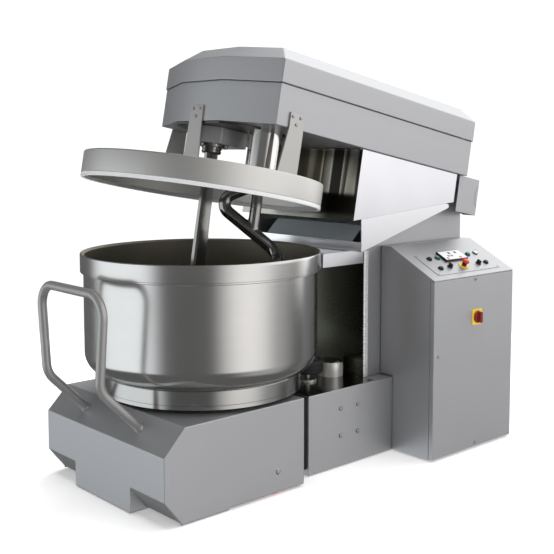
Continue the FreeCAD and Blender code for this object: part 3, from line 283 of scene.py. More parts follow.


# colour stops of the front wall's painted reflection bands
paintedArmReflections = ((0.30, (0.012, 0.012, 0.010)), (0.42, (0.07, 0.060, 0.040)), (0.47, (0.36, 0.34, 0.29)),
            (0.50, (0.030, 0.026, 0.020)), (0.57, (0.14, 0.12, 0.08)), (0.62, (0.40, 0.40, 0.37)),
            (0.66, (0.025, 0.022, 0.018)))
finishes = {
    "painted_grey": hammeredPaint("paintedGrey", rgba(0.47, 0.475, 0.49), rgba(0.57, 0.575, 0.59)),
    "satin_steel": satinSheet("satinSteel", rgba(0.50, 0.49, 0.47), rgba(0.60, 0.59, 0.57), 0.30,
                              (1.0, 1.0, 0.05)),
    "polished_steel": flatBrushed("polishedSteel", rgba(0.88, 0.88, 0.91), rgba(0.96, 0.96, 0.98), 0.14,
                                  (0.04, 1.0, 1.0)),
    # polished steel whose dark tone is painted shade
    "dark_steel": flatBrushed("shadedSteel", rgba(0.10, 0.10, 0.09), rgba(0.16, 0.16, 0.14), 0.20,
                              (0.04, 1.0, 1.0)),
    "tool_chrome": polishedTool("toolChrome", rgba(0.28, 0.28, 0.27), rgba(0.40, 0.39, 0.37), 0.08),
    "tube_grey": hammeredPaint("tubeGrey", rgba(0.44, 0.44, 0.43), rgba(0.52, 0.52, 0.51), 0.38, 0.75),
    "machined_steel": polishedTool("machinedSteel", rgba(0.40, 0.40, 0.40), rgba(0.55, 0.55, 0.55), 0.25),
    "cast_grey": castMetal("castGrey", rgba(0.10, 0.11, 0.12), rgba(0.16, 0.17, 0.18), 0.55),
    "bronze": castMetal("bronze", rgba(0.45, 0.28, 0.10), rgba(0.55, 0.36, 0.15), 0.35),
    "black_rubber": mouldedPlastic("blackRubber", rgba(0.010, 0.010, 0.010), rgba(0.03, 0.03, 0.03), 0.6),
    "red_wheel": mouldedPlastic("redWheel", rgba(0.42, 0.04, 0.03), rgba(0.55, 0.06, 0.04), 0.4),
    "white_plastic": mouldedPlastic("whitePlastic", rgba(0.78, 0.79, 0.80), rgba(0.88, 0.88, 0.88), 0.35),
    # neck interior: real blue-grey paint, made brighter as painted light for the shaded neck
    "inner_blue_grey": hammeredPaint("innerBlueGrey", rgba(0.68, 0.74, 0.77), rgba(0.78, 0.84, 0.86), 0.5, 0.1),
    "black_plastic": mouldedPlastic("blackPlastic", rgba(0.010, 0.010, 0.010), rgba(0.022, 0.022, 0.022), 0.22),
    "green_plastic": mouldedPlastic("greenPlastic", rgba(0.02, 0.14, 0.11), rgba(0.05, 0.24, 0.19), 0.25),
    "red_plastic": mouldedPlastic("redPlastic", rgba(0.55, 0.02, 0.015), rgba(0.72, 0.05, 0.03), 0.25),
    "yellow_plastic": mouldedPlastic("yellowPlastic", rgba(0.80, 0.55, 0.02), rgba(0.90, 0.68, 0.06), 0.35),
    "lamp_white": mouldedPlastic("lampWhite", rgba(0.80, 0.80, 0.78), rgba(0.92, 0.92, 0.90), 0.18),
}


# mesh helpers
def softened(points, radius, steps=4, closed=True):
    softPoints = []
    count = len(points)
    for index, point in enumerate(points):
        corner = Vector(point)
        if not closed and index in (0, count - 1):
            softPoints.append(tuple(corner))
            continue
        before = Vector(points[index - 1])
        after = Vector(points[(index + 1) % count])
        cut = min(radius, 0.45 * (corner - before).length, 0.45 * (after - corner).length)
        start = corner + (before - corner).normalized() * cut
        end = corner + (after - corner).normalized() * cut
        for step in range(steps + 1):
            part = step / steps
            softPoints.append(tuple(start * (1 - part) ** 2 + corner * 2 * part * (1 - part) + end * part ** 2))
    return softPoints


def hexReach(angle):
    sector = math.pi / 3
    return math.cos(sector / 2) / math.cos(angle % sector - sector / 2)


def revolved(profile, steps=96, closed=True, hexRows=()):
    mesh = bmesh.new()
    rings = []
    for row, (radius, height) in enumerate(profile):
        if radius < 1e-6:
            rings.append([mesh.verts.new((0, 0, height))])
            continue
        ring = []
        for step in range(steps):
            angle = math.tau * step / steps
            reach = radius * hexReach(angle) if row in hexRows else radius
            ring.append(mesh.verts.new((reach * math.cos(angle), reach * math.sin(angle), height)))
        rings.append(ring)
    pairs = list(zip(rings, rings[1:]))
    if closed:
        pairs.append((rings[-1], rings[0]))
    for low, high in pairs:
        if len(low) == 1 and len(high) == 1:
            continue
        for step in range(steps):
            after = (step + 1) % steps
            corners = []
            for vert in (low[step % len(low)], low[after % len(low)], high[after % len(high)],
                         high[step % len(high)]):
                if vert not in corners:
                    corners.append(vert)
            mesh.faces.new(corners)
    bmesh.ops.recalc_face_normals(mesh, faces=mesh.faces)
    return mesh


def extruded(outline, low, high, edge=0.0, segments=3):
    mesh = bmesh.new()
    floor = [mesh.verts.new((x, y, low)) for x, y in outline]
    top = [mesh.verts.new((x, y, high)) for x, y in outline]
    mesh.faces.new(list(reversed(floor)))
    mesh.faces.new(top)
    count = len(outline)
    for index in range(count):
        after = (index + 1) % count
        mesh.faces.new((floor[index], floor[after], top[after], top[index]))
    bmesh.ops.recalc_face_normals(mesh, faces=mesh.faces)
    if edge:
        bmesh.ops.bevel(mesh, geom=mesh.edges[:], offset=edge, segments=segments, profile=0.5,
                        affect="EDGES", clamp_overlap=True)
    return mesh


def lofted(rings):
    mesh = bmesh.new()
    rows = [[mesh.verts.new(point) for point in ring] for ring in rings]
    for low, high in zip(rows, rows[1:]):
        for step in range(len(low)):
            after = (step + 1) % len(low)
            mesh.faces.new((low[step], low[after], high[after], high[step]))
    mesh.faces.new(rows[0])
    mesh.faces.new(rows[-1])
    bmesh.ops.recalc_face_normals(mesh, faces=mesh.faces)
    return mesh


def slab(halfX, halfY, corner, low, high, edge):
    # rounded block whose top edge is rolled over
    rings = [[(x, y, low) for x, y in softened(rectangle(halfX, halfY), corner, 5)]]
    for step in range(5):
        angle = math.radians(90 * step / 4)
        inset = edge * (1 - math.cos(angle))
        height = high - edge + edge * math.sin(angle)
        rings.append([(x, y, height) for x, y in
                      softened(rectangle(halfX - inset, halfY - inset), corner - inset / 2, 5)])
    return lofted(rings)


def boltHead(radius, height):
    # low round head with a hexagon socket
    socket = radius * 0.45
    profile = [(0, 0), (radius, 0), (radius, height * 0.5), (radius * 0.9, height * 0.82),
               (radius * 0.68, height), (socket, height), (socket, height * 0.35), (0, height * 0.35)]
    return revolved(profile, 48, closed=False, hexRows=(5, 6))


def hexNut(radius, height):
    profile = [(0, 0), (radius, 0), (radius, height * 0.8), (radius * 0.86, height),
               (radius * 0.55, height), (radius * 0.55, height * 1.3), (0, height * 1.3)]
    return revolved(profile, 48, closed=False, hexRows=(1, 2))


def rectangle(halfX, halfY):
    return [(-halfX, -halfY), (halfX, -halfY), (halfX, halfY), (-halfX, halfY)]


def swept(points, radius, steps=32, capped=True):
    mesh = bmesh.new()
    spots = [Vector(point) for point in points]
    ways = []
    for index in range(len(spots)):
        before = spots[max(index - 1, 0)]
        after = spots[min(index + 1, len(spots) - 1)]
        ways.append((after - before).normalized())
    side = ways[0].orthogonal().normalized()
    rings = []
    for spot, way in zip(spots, ways):
        side = (side - way * side.dot(way)).normalized()
        other = way.cross(side)
        ring = []
        for step in range(steps):
            angle = math.tau * step / steps
            ring.append(mesh.verts.new(spot + (side * math.cos(angle) + other * math.sin(angle)) * radius))
        rings.append(ring)
    for low, high in zip(rings, rings[1:]):
        for step in range(steps):
            after = (step + 1) % steps
            mesh.faces.new((low[step], low[after], high[after], high[step]))
    if capped:
        mesh.faces.new(rings[0])
        mesh.faces.new(rings[-1])
    bmesh.ops.recalc_face_normals(mesh, faces=mesh.faces)
    return mesh


def arcRoute(corners, bends, steps=14):
    spots = [Vector(corner) for corner in corners]
    route = [spots[0]]
    for before, corner, after, bend in zip(spots, spots[1:], spots[2:], bends):
        into = (corner - before).normalized()
        out = (after - corner).normalized()
        turn = into.angle(out)
        start = corner - into * bend * math.tan(turn / 2)
        centre = start + (out - into * into.dot(out)).normalized() * bend
        arm = start - centre
        axis = into.cross(out).normalized()
        for step in range(steps + 1):
            route.append(centre + Matrix.Rotation(turn * step / steps, 3, axis) @ arm)
    route.append(spots[-1])
    return route


def joined(meshes):
    whole = bmesh.new()
    for mesh in meshes:
        part = bpy.data.meshes.new("part")
        mesh.to_mesh(part)
        mesh.free()
        whole.from_mesh(part)
        bpy.data.meshes.remove(part)
    return whole


def placed(mesh, matrix):
    bmesh.ops.transform(mesh, matrix=matrix, verts=mesh.verts)
    return mesh


def piece(name, mesh, slot, body, replaces=(), matrix=None, crease=35.0, material=None):
    if matrix is not None:
        placed(mesh, matrix)
    data = bpy.data.meshes.new(name)
    mesh.to_mesh(data)
    mesh.free()
    made = bpy.data.objects.new(name, data)
    bpy.context.scene.collection.objects.link(made)
    data.shade_smooth()
    data.set_sharp_from_angle(angle=math.radians(crease))
    data.materials.append(material or finishes[slot])
    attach(made, body)
    if replaces:
        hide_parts(*replaces)
    return made


def facing(direction, spot):
    return Matrix.Translation(spot) @ Vector(direction).to_track_quat("Z", "Y").to_matrix().to_4x4()


def centreOf(node):
    low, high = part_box(node)
    return (low + high) / 2


def jointNamed(name):
    return next(joint for joint in frame["joints"] if joint["name"] == name)


# places read from the frame
bowlLow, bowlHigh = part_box("bowl_shell")
bowlSpot = Vector(((bowlLow.x + bowlHigh.x) / 2, (bowlLow.y + bowlHigh.y) / 2, 0))
atBowl = Matrix.Translation(bowlSpot)
hingeSpot = Vector(jointNamed("head_tilt")["pos_m"])
spiralWay = Vector(jointNamed("spiral_spin")["axis"])
headLean = -math.atan2(spiralWay.y, spiralWay.z)
atHead = (Matrix.Translation(hingeSpot) @ Matrix.Rotation(headLean, 4, "X")
          @ Matrix.Translation(-hingeSpot) @ atBowl)   # head pieces are drawn lowered, about the bowl's axis
slopeOut = -Vector(jointNamed("estop_press")["axis"])


# CAD nodes that stay: soft edges and their finish
edgeWidths = {
    "head_shell": 3.0, "head_lid": 4.0, "trolley_body": 4.0, "base_frame": 3.0, "cabinet_shell": 1.6,
    "cabinet_door": 2.0, "column_frame": 3.0, "neck_housing": 1.2, "arm_casing": 1.0,
    "rear_hinge_cover": 1.0, "neck_shelf": 2.0, "bar_block": 4.0, "guard_straps": 1.5,
    "base_top_plate": 1.0, "control_plate": 0.8, "neck_inner_cover": 1.0, "arm_frame": 2.0,
    "underside_plate": 1.5, "hydraulic_unit": 4.0,
}
# large faces with openings, which stay whole under a bevel only as triangles
holedSheets = ("head_lid", "cabinet_shell", "cabinet_door", "column_frame", "neck_shelf")


def softenNode(name, width):
    node = frame["nodes"][name]
    weld = node.modifiers.new("weld", "WELD")
    weld.merge_threshold = 0.00005
    flat = node.modifiers.new("flat", "DECIMATE")
    flat.decimate_type = "DISSOLVE"
    flat.angle_limit = math.radians(0.5)
    if name in holedSheets:
        node.modifiers.new("facets", "TRIANGULATE")
    edge = node.modifiers.new("edge", "BEVEL")
    edge.width = width * millimetre
    edge.segments = 3
    edge.limit_method = "ANGLE"
    edge.angle_limit = math.radians(24)
    edge.use_clamp_overlap = False
    edge.miter_outer = "MITER_ARC"
    shade = node.modifiers.new("shade", "WEIGHTED_NORMAL")
    shade.keep_sharp = False


slotOfNode = {part["node"]: part["material_slot"] for part in frame["record"]["subparts"]}
for nodeName, node in frame["nodes"].items():
    node.data.materials.clear()
    node.data.materials.append(finishes[slotOfNode[nodeName]])
ownFinish = {
    "arm_casing": armSheet("armSheet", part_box("arm_casing")[0].z),
    # column front skin: the dark tone is painted shade, the +X facing fold a painted highlight
    "column_front_skin": highlightedSheet("columnSkin", rgba(0.050, 0.052, 0.043), rgba(0.110, 0.110, 0.085),
                                    rgba(0.90, 0.90, 0.90), rgba(0.97, 0.97, 0.97),
                                    lambda finish: finish.normalAxis("X").ease(0.3, 0.6), 0.22),
    # base top plate: up-facing parts painted dark as shade, the cap's sides and plate edges a painted highlight
    "base_top_plate": highlightedSheet("baseTopSteel", rgba(0.18, 0.18, 0.165), rgba(0.30, 0.30, 0.27),
                                 rgba(0.80, 0.79, 0.77), rgba(0.92, 0.91, 0.89),
                                 lambda finish: 1 - finish.normalAxis("Z").size().ease(0.2, 0.6), 0.12),
    # bar block: its grey tone is raised as painted light for the shade under the head
    "bar_block": satinSheet("blockLightened", rgba(0.62, 0.62, 0.63), rgba(0.74, 0.74, 0.75), 0.36, (1.0, 1.0, 0.05),
                            metal=0.55),
    "neck_shelf": satinSheet("shelfSheet", rgba(0.82, 0.82, 0.85), rgba(0.92, 0.92, 0.95), 0.22,
                             (0.05, 1.0, 1.0)),
}
for nodeName, material in ownFinish.items():
    frame["nodes"][nodeName].data.materials[0] = material
for nodeName, width in edgeWidths.items():
    softenNode(nodeName, width)
print("frame nodes finished:", len(frame["nodes"]))


# bowl
bowl = {
    "body": 0.516, "wall": 0.004, "corner": 0.095, "band": 0.081, "bead": 0.0045, "groove": 0.0012,
    "steps": 240,
}


def bowlProfile():
    rim = (bowlHigh.x - bowlLow.x) / 2
    top = bowlHigh.z
    floorZ = bowlLow.z
    wall = bowl["wall"]
    bandLow = top - bowl["band"]
    corner = bowl["corner"]
    outer = [(0.0, floorZ), (bowl["body"] - corner, floorZ)]
    for step in range(1, 17):
        angle = math.radians(90 * step / 16)
        outer.append((bowl["body"] - corner + corner * math.sin(angle),
                      floorZ + corner - corner * math.cos(angle)))
    outer += [(bowl["body"], bandLow - 0.002), (bowl["body"] + 0.0015, bandLow)]
    outer += [(rim - 0.0015, bandLow + 0.0005), (rim, bandLow + 0.002)]
    seam = bandLow + 0.008
    groove = bowl["groove"]
    outer += [(rim, seam), (rim - groove, seam + 0.0008), (rim - groove, seam + 0.0016), (rim, seam + 0.0024)]
    bead = bowl["bead"]
    outer += [(rim, top - 3 * bead)]
    for step in range(9):
        angle = math.radians(180 * step / 8)
        outer.append((rim - bead + bead * math.cos(angle), top - bead + bead * math.sin(angle)))
    inside = bowl["body"] - wall
    outer += [(inside + 0.0025, top - 0.006), (inside, top - 0.009), (inside, floorZ + corner)]
    inner = corner - wall
    for step in range(1, 17):
        angle = math.radians(90 * step / 16)
        outer.append((inside - inner + inner * math.cos(angle), floorZ + corner - inner * math.sin(angle)))
    outer.append((0.0, floorZ + wall))
    return outer


# the bowl's darker brown inside colour is painted shade and painted reflection
bowlPiece = piece("bowlShell", revolved(bowlProfile(), bowl["steps"], closed=False), "satin_steel", "bowl",
                  ["bowl_shell"], atBowl, 30.0,
                  bowlSheet("bowlSteel", rgba(0.60, 0.595, 0.58), rgba(0.72, 0.71, 0.70),
                            rgba(0.34, 0.32, 0.26), centreOf("bowl_shell")))

ringLow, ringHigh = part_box("bowl_drive_ring")
driveRing = {"wall": 0.014, "edge": 0.004, "lineGap": 0.016}


def driveRingProfile():
    radius = (ringHigh.x - ringLow.x) / 2
    low, high = ringLow.z, ringHigh.z
    inside = radius - driveRing["wall"]
    line = low + driveRing["lineGap"]
    profile = [(inside, low), (radius, low), (radius, high), (inside, high)]
    soft = softened(profile[:2], 0.002, closed=False)
    soft += [(radius, line), (radius - 0.0015, line + 0.001), (radius - 0.0015, line + 0.002),
             (radius, line + 0.003)]
    soft += softened([(radius, line + 0.004), (radius, high), (inside, high)], driveRing["edge"], 5, False)[1:]
    return soft


def turntableProfile():
    outer = (ringHigh.x - ringLow.x) / 2 - driveRing["wall"]
    high = bowlLow.z
    return softened([(0.032, 0.42), (0.09, 0.42), (0.09, 0.462), (outer, 0.462), (outer, high),
                     (0.0, high), (0.0, 0.47), (0.032, 0.47)][:5], 0.001, 2, False) + [(0.0, high), (0.0, 0.47),
                                                                                       (0.032, 0.47)]


ringMesh = joined([revolved(driveRingProfile(), 192), revolved(turntableProfile(), 96)])
piece("bowlDriveRing", ringMesh, "polished_steel", "bowl", ["bowl_drive_ring"], atBowl, 30.0,
      roundBrushed("ringSteel", rgba(0.44, 0.44, 0.43), rgba(0.56, 0.56, 0.54), 0.12, 0.4))
print("bowl done")


# trolley handle
handle = {
    "tube": 0.019, "footHalf": 0.206, "topHalf": 0.247, "foot": (-0.470, 0.3355), "knee": (-0.656, 0.5215),
    "barTop": 0.897, "footBend": 0.095, "topBend": 0.088, "collar": 0.0235, "collarLong": 0.012,
}


def handlePiece():
    right = [(handle["footHalf"], *handle["foot"]), (handle["footHalf"], *handle["knee"]),
             (handle["topHalf"], handle["knee"][0], handle["barTop"])]
    left = [(-x, y, z) for x, y, z in reversed(right)]
    bends = [handle["footBend"], handle["topBend"], handle["topBend"], handle["footBend"]]
    tube = swept(arcRoute(right + left, bends, 20), handle["tube"], 40)
    meshes = [tube]
    way = (Vector(right[1]) - Vector(right[0])).normalized()
    for side in (-1, 1):
        start = Vector((side * handle["footHalf"], *handle["foot"])) + way * 0.006
        tubeR = handle["tube"]
        weld = [(tubeR - 0.001, 0.0), (handle["collar"], 0.0), (handle["collar"] - 0.001, 0.004),
                (tubeR + 0.001, handle["collarLong"]), (tubeR - 0.001, handle["collarLong"] + 0.001)]
        meshes.append(placed(revolved(softened(weld, 0.0015, 3), 40), facing(way, start)))
    return joined(meshes)


piece("trolleyHandle", handlePiece(), "tube_grey", "machine", ["trolley_handle"], atBowl, 50.0)
print("handle done")


# cover disc over the bowl
guard = {
    "radius": 0.530, "low": 1.017, "top": 1.129, "sheet": 0.003, "lip": 0.018, "edge": 0.006,
    "barHole": 0.056, "bar": (0.0, 0.022), "spiralHole": 0.075, "spiral": (0.212, 0.143), "steps": 256,
}


def guardProfile():
    radius, sheet = guard["radius"], guard["sheet"]
    low, top = guard["low"] + guard["lip"], guard["top"]
    shoulder = radius - 0.02
    outside = [(radius, low), (radius, top), (shoulder, top)]
    inside = [(shoulder, top - sheet), (radius - sheet, top - sheet), (radius - sheet, low)]
    return (softened(outside, guard["edge"], 5, False) + softened(inside, guard["edge"] - sheet, 4, False))


def guardPlate():
    data = bpy.data.curves.new("guardPlate", "CURVE")
    data.dimensions = "2D"
    data.fill_mode = "BOTH"
    data.extrude = guard["sheet"] / 2
    circles = [((0.0, 0.0), guard["radius"] - 0.02), (guard["bar"], guard["barHole"]),
               (guard["spiral"], guard["spiralHole"])]
    for centre, radius in circles:
        count = 96
        spline = data.splines.new("POLY")
        spline.points.add(count - 1)
        spline.use_cyclic_u = True
        for index, point in enumerate(spline.points):
            angle = math.tau * index / count
            point.co = (centre[0] + radius * math.cos(angle), centre[1] + radius * math.sin(angle), 0.0, 1.0)
    holder = bpy.data.objects.new("guardPlate", data)
    made = bpy.data.meshes.new_from_object(holder)
    mesh = bmesh.new()
    mesh.from_mesh(made)
    bpy.data.objects.remove(holder)
    bpy.data.curves.remove(data)
    bpy.data.meshes.remove(made)
    return placed(mesh, Matrix.Translation((0, 0, guard["top"] - guard["sheet"] / 2)))


def lipProfile():
    radius, low = guard["radius"], guard["low"]
    high = low + guard["lip"]
    corners = [(radius - 0.016, low), (radius, low), (radius, high), (radius - 0.016, high)]
    return softened(corners, 0.004, 5)


discMesh = joined([revolved(guardProfile(), guard["steps"]), guardPlate()])
piece("guardDisc", discMesh, "satin_steel", "head", ["guard_disc"], atHead, 30.0,
      roundBrushed("discSteel", rgba(0.72, 0.71, 0.68), rgba(0.82, 0.81, 0.78), 0.42, 0.4))
piece("guardLip", revolved(lipProfile(), guard["steps"]), "white_plastic", "head", ["guard_lip"], atHead)
print("cover disc done")


# dough spiral
spiral = {"voxel": 0.0035, "smooth": 8}


def spiralPiece():
    source = frame["nodes"]["spiral_tool"]
    made = bpy.data.objects.new("spiralTool", source.data.copy())
    bpy.context.scene.collection.objects.link(made)
    remesh = made.modifiers.new("remesh", "REMESH")
    remesh.mode = "VOXEL"
    remesh.voxel_size = spiral["voxel"]
    remesh.use_smooth_shade = True
    smooth = made.modifiers.new("smooth", "SMOOTH")
    smooth.factor = 0.5
    smooth.iterations = spiral["smooth"]
    bpy.context.view_layer.update()
    final = bpy.data.meshes.new_from_object(made.evaluated_get(bpy.context.evaluated_depsgraph_get()))
    bpy.data.objects.remove(made)
    mesh = bmesh.new()
    mesh.from_mesh(final)
    bpy.data.meshes.remove(final)
    return mesh


piece("spiralTool", spiralPiece(), "tool_chrome", "spiral", ["spiral_tool"], None, 180.0)
print("spiral done")


# spiral housing, bar clamp
housing = {
    "axis": (0.212, 0.143), "low": 1.108, "top": 1.330, "outer": 0.072, "bore": 0.040, "chamfer": 0.006,
    "groove": 0.0018, "grooveUp": 0.022,
}


def housingProfile():
    outer, low, top = housing["outer"], housing["low"], housing["top"]
    line = low + housing["grooveUp"]
    cut = outer - housing["groove"]
    chamfer = housing["chamfer"]
    return [(housing["bore"], low), (outer - chamfer, low), (outer, low + chamfer), (outer, line),
            (cut, line + 0.001), (cut, line + 0.004), (outer, line + 0.005), (outer, top - 0.016),
            (outer - 0.001, top - 0.015), (outer - 0.001, top), (housing["bore"], top)]


piece("spiralHousing", revolved(housingProfile(), 144), "polished_steel", "head", ["spiral_housing"],
      atHead @ Matrix.Translation((*housing["axis"], 0)), 25.0,
      roundBrushed("housingSteel", rgba(0.74, 0.73, 0.71), rgba(0.90, 0.89, 0.87), 0.07, 0.2))

clamp = {
    "bar": (0.0, 0.022), "block": 1.245, "plateR": 0.056, "plateHigh": 0.014, "collarR": 0.044,
    "collarLow": 1.203, "nutR": 0.0105, "nutHigh": 0.0125, "nutCircle": 0.056, "nutShift": 0.008,
    "nutAngles": (0.6, 2.5, 5.6),
}


def clampPiece():
    block, low = clamp["block"], clamp["collarLow"]
    plateLow = block - clamp["plateHigh"]
    collar, plate = clamp["collarR"], clamp["plateR"]
    profile = [(0, low), (collar - 0.005, low), (collar, low + 0.005), (collar, low + 0.012),
               (collar - 0.003, low + 0.013), (collar - 0.003, low + 0.017), (collar, low + 0.018),
               (collar, plateLow), (plate - 0.002, plateLow), (plate, plateLow + 0.002),
               (plate, block), (0, block)]
    meshes = [revolved(profile, 96, closed=False)]
    for angle in clamp["nutAngles"]:
        nut = hexNut(clamp["nutR"], clamp["nutHigh"])
        x = clamp["nutCircle"] * math.cos(angle)
        y = clamp["nutCircle"] * math.sin(angle) + clamp["nutShift"]
        meshes.append(placed(nut, Matrix.Translation((x, y, block)) @ Matrix.Rotation(math.pi, 4, "X")))
    return joined(meshes)


piece("barClamp", clampPiece(), "tool_chrome", "head", ["bar_clamp"],
      atHead @ Matrix.Translation((*clamp["bar"], 0)), 25.0)
print("housing and clamp done")


# bolt heads
bolts = {
    "baseIn": (0.202, 0.315), "baseUp": (0.148, 0.275), "baseR": 0.010, "baseHigh": 0.0055,
    "strapR": 0.0072, "strapHigh": 0.0045, "strapFace": 0.091, "strapSide": 0.4155,
    "front": ((-0.024, 1.384), (0.024, 1.384), (0.0, 1.350)),
    "side": ((0.104, 1.380), (0.148, 1.380), (0.128, 1.348)),
}


def baseBolts():
    low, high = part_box("base_top_plate")
    meshes = []
    for side, face in ((-1, low.x), (1, high.x)):
        for inward in bolts["baseIn"]:
            for up in bolts["baseUp"]:
                head = boltHead(bolts["baseR"], bolts["baseHigh"])
                meshes.append(placed(head, facing((side, 0, 0), Vector((face, low.y + inward, up)))))
    trolleyHalf = (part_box("trolley_body")[1].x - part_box("trolley_body")[0].x) / 2
    for side, joint in ((-1, "wheel_left_roll"), (1, "wheel_right_roll")):
        spot = Vector(jointNamed(joint)["pos_m"])
        spot.x = bowlSpot.x + side * (trolleyHalf - 0.0052)
        meshes.append(placed(boltHead(0.011, bolts["baseHigh"]), facing((side, 0, 0), spot)))
    return joined(meshes)


def strapBolts():
    meshes = []
    for x, z in bolts["front"]:
        head = boltHead(bolts["strapR"], bolts["strapHigh"])
        meshes.append(placed(head, facing((0, -1, 0), Vector((x, -bolts["strapFace"], z)))))
    for side in (-1, 1):
        for y, z in bolts["side"]:
            head = boltHead(bolts["strapR"], bolts["strapHigh"])
            meshes.append(placed(head, facing((side, 0, 0), Vector((side * bolts["strapSide"], y, z)))))
    return joined(meshes)


piece("baseBolts", baseBolts(), "machined_steel", "machine", crease=20.0)
piece("strapBolts", strapBolts(), "machined_steel", "head", matrix=atHead, crease=20.0)
print("bolt heads done")


# wheels, drive tyre and docking seal
wheels = {"rim": 0.100, "wide": 0.042, "bore": 0.0121, "hub": 0.032, "web": 0.070}


def wheelProfile(radius, wide, bore, hub, web):
    half = wide / 2
    edge = 0.006
    side = [(bore, half), (hub, half), (hub + 0.003, half - 0.006), (web, half - 0.008), (web + 0.006, half),
            (radius - edge, half), (radius - 0.0015, half - edge)]
    return side + [(radius, 0.0)] + [(r, -z) for r, z in reversed(side)]


for side in ("left", "right"):
    spot = centreOf("rear_wheel_" + side)
    wheelMesh = revolved(wheelProfile(wheels["rim"], wheels["wide"], wheels["bore"], wheels["hub"],
                                      wheels["web"]), 96)
    piece("rearWheel" + side.title(), wheelMesh, "red_wheel", "wheel_" + side, ["rear_wheel_" + side],
          facing((1, 0, 0), spot), 25.0)
castorMesh = revolved(wheelProfile(0.062, 0.040, 0.0091, 0.020, 0.040), 96)
piece("castorWheel", castorMesh, "red_wheel", "castor_roller", ["castor_wheel"],
      facing((1, 0, 0), centreOf("castor_wheel")), 25.0)


def tyreProfile():
    low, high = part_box("drive_wheel_tyre")
    radius = (high.x - low.x) / 2
    wide = high.z - low.z
    middle = (high.z + low.z) / 2
    side = [(0.0521, wide / 2), (radius - 0.006, wide / 2), (radius - 0.001, wide / 2 - 0.006), (radius, 0.012),
            (radius - 0.003, 0.010), (radius - 0.003, 0.007), (radius, 0.005)]
    return [(r, middle + z) for r, z in side] + [(r, middle - z) for r, z in reversed(side)]


tyreSpot = centreOf("drive_wheel_tyre")
piece("driveTyre", revolved(tyreProfile(), 96), "black_rubber", "drive_wheel", ["drive_wheel_tyre"],
      Matrix.Translation((tyreSpot.x, tyreSpot.y, 0)), 25.0)

seal = {"half": 0.374, "low": 0.030, "high": 0.362, "gap": 0.0015, "folds": 3, "depth": 0.010}


def sealPiece():
    # folded rubber seal between trolley and base
    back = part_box("base_frame")[0].y - seal["gap"]
    front = bowlSpot.y + 0.208 + seal["gap"]
    rings = []
    count = seal["folds"] * 4
    middle = (seal["low"] + seal["high"]) / 2
    for step in range(count + 1):
        wave = seal["depth"] * (1 - math.cos(math.tau * step * seal["folds"] / count)) / 2
        y = front + (back - front) * step / count
        outline = softened(rectangle(seal["half"] - wave, (seal["high"] - seal["low"]) / 2 - wave), 0.012, 3)
        rings.append([(bowlSpot.x + x, y, middle + z) for x, z in outline])
    return lofted(rings)


piece("dockingSeal", sealPiece(), "black_rubber", "machine", crease=50.0)
print("wheels and seal done")


# control face: buttons, selectors, lamp, display and emergency stop
slopeDown = Vector((slopeOut.z, 0, -slopeOut.x))
plateTop = max(vert.co.dot(slopeOut) for vert in frame["nodes"]["control_plate"].data.vertices)


def onPlate(spot):
    seat = Vector(spot) + slopeOut * (plateTop - Vector(spot).dot(slopeOut))
    turn = Matrix((slopeDown, Vector((0, 1, 0)), slopeOut)).transposed().to_4x4()
    return Matrix.Translation(seat) @ turn


controls = {
    "stem": -0.0140, "stemR": 0.0085, "capR": 0.0112, "capTop": 0.0100, "dish": 0.0014,
    "collarR": 0.0150, "collarBore": 0.0114, "collarHigh": 0.0040,
    "gripLong": 0.0125, "gripHalf": 0.0042, "gripTop": 0.0198, "gripLow": 0.0050,
}
blackButtons = ("button_black_1", "button_black_2", "button_black_3")
greenButtons = ("button_green_1", "button_green_2")
selectors = ("selector_1", "selector_2")


def buttonMesh():
    cap, top, dish = controls["capR"], controls["capTop"], controls["dish"]
    profile = [(0, controls["stem"]), (controls["stemR"], controls["stem"]), (controls["stemR"], 0.0005),
               (cap, 0.0005), (cap, top - 0.0020), (cap - 0.0006, top - 0.0007), (cap - 0.0018, top),
               (cap - 0.0032, top - 0.0003), (cap - 0.0050, top - dish * 0.7), (cap - 0.0075, top - dish),
               (0, top - dish)]
    return revolved(profile, 64, closed=False)


def selectorMesh():
    profile = [(0, controls["stem"]), (controls["stemR"], controls["stem"]), (controls["stemR"], 0.0005),
               (controls["capR"], 0.0005), (controls["capR"], 0.0046), (controls["capR"] - 0.0012, 0.0058),
               (0, 0.0058)]
    grip = slab(controls["gripLong"], controls["gripHalf"], 0.0038, controls["gripLow"], controls["gripTop"],
                0.0022)
    return joined([revolved(profile, 64, closed=False), grip])


def collarMesh():
    outer, bore, high = controls["collarR"], controls["collarBore"], controls["collarHigh"]
    profile = softened([(bore, 0), (outer, 0), (outer - 0.0008, high), (bore, high)], 0.0010, 3)
    return revolved(profile, 64)


for name in (*blackButtons, *greenButtons):
    slotName = "black_plastic" if name in blackButtons else "green_plastic"
    piece(name.title().replace("_", ""), buttonMesh(), slotName, name, [name],
          onPlate(centreOf(name)), 30.0)
for name in selectors:
    piece(name.title().replace("_", ""), selectorMesh(), "black_plastic", name, [name],
          onPlate(jointNamed(name + "_turn")["pos_m"]), 30.0)
lampSpot = centreOf("pilot_lamp")
collarSpots = [centreOf(name) for name in (*blackButtons, *greenButtons)]
collarSpots += [jointNamed(name + "_turn")["pos_m"] for name in selectors] + [lampSpot]
piece("controlCollars", joined([placed(collarMesh(), onPlate(spot)) for spot in collarSpots]),
      slotOfNode["control_collars"], "machine", ["control_collars"], None, 30.0)

lamp = {"radius": 0.0112, "shoulder": 0.0062, "top": 0.0100}


def lampMesh():
    profile = [(0, 0.0), (lamp["radius"], 0.0), (lamp["radius"], lamp["shoulder"])]
    rise = lamp["top"] - lamp["shoulder"]
    for step in range(1, 7):
        angle = math.radians(90 * step / 6)
        profile.append((lamp["radius"] * math.cos(angle), lamp["shoulder"] + rise * math.sin(angle)))
    return revolved([*profile[:-1], (0, lamp["top"])], 64, closed=False)


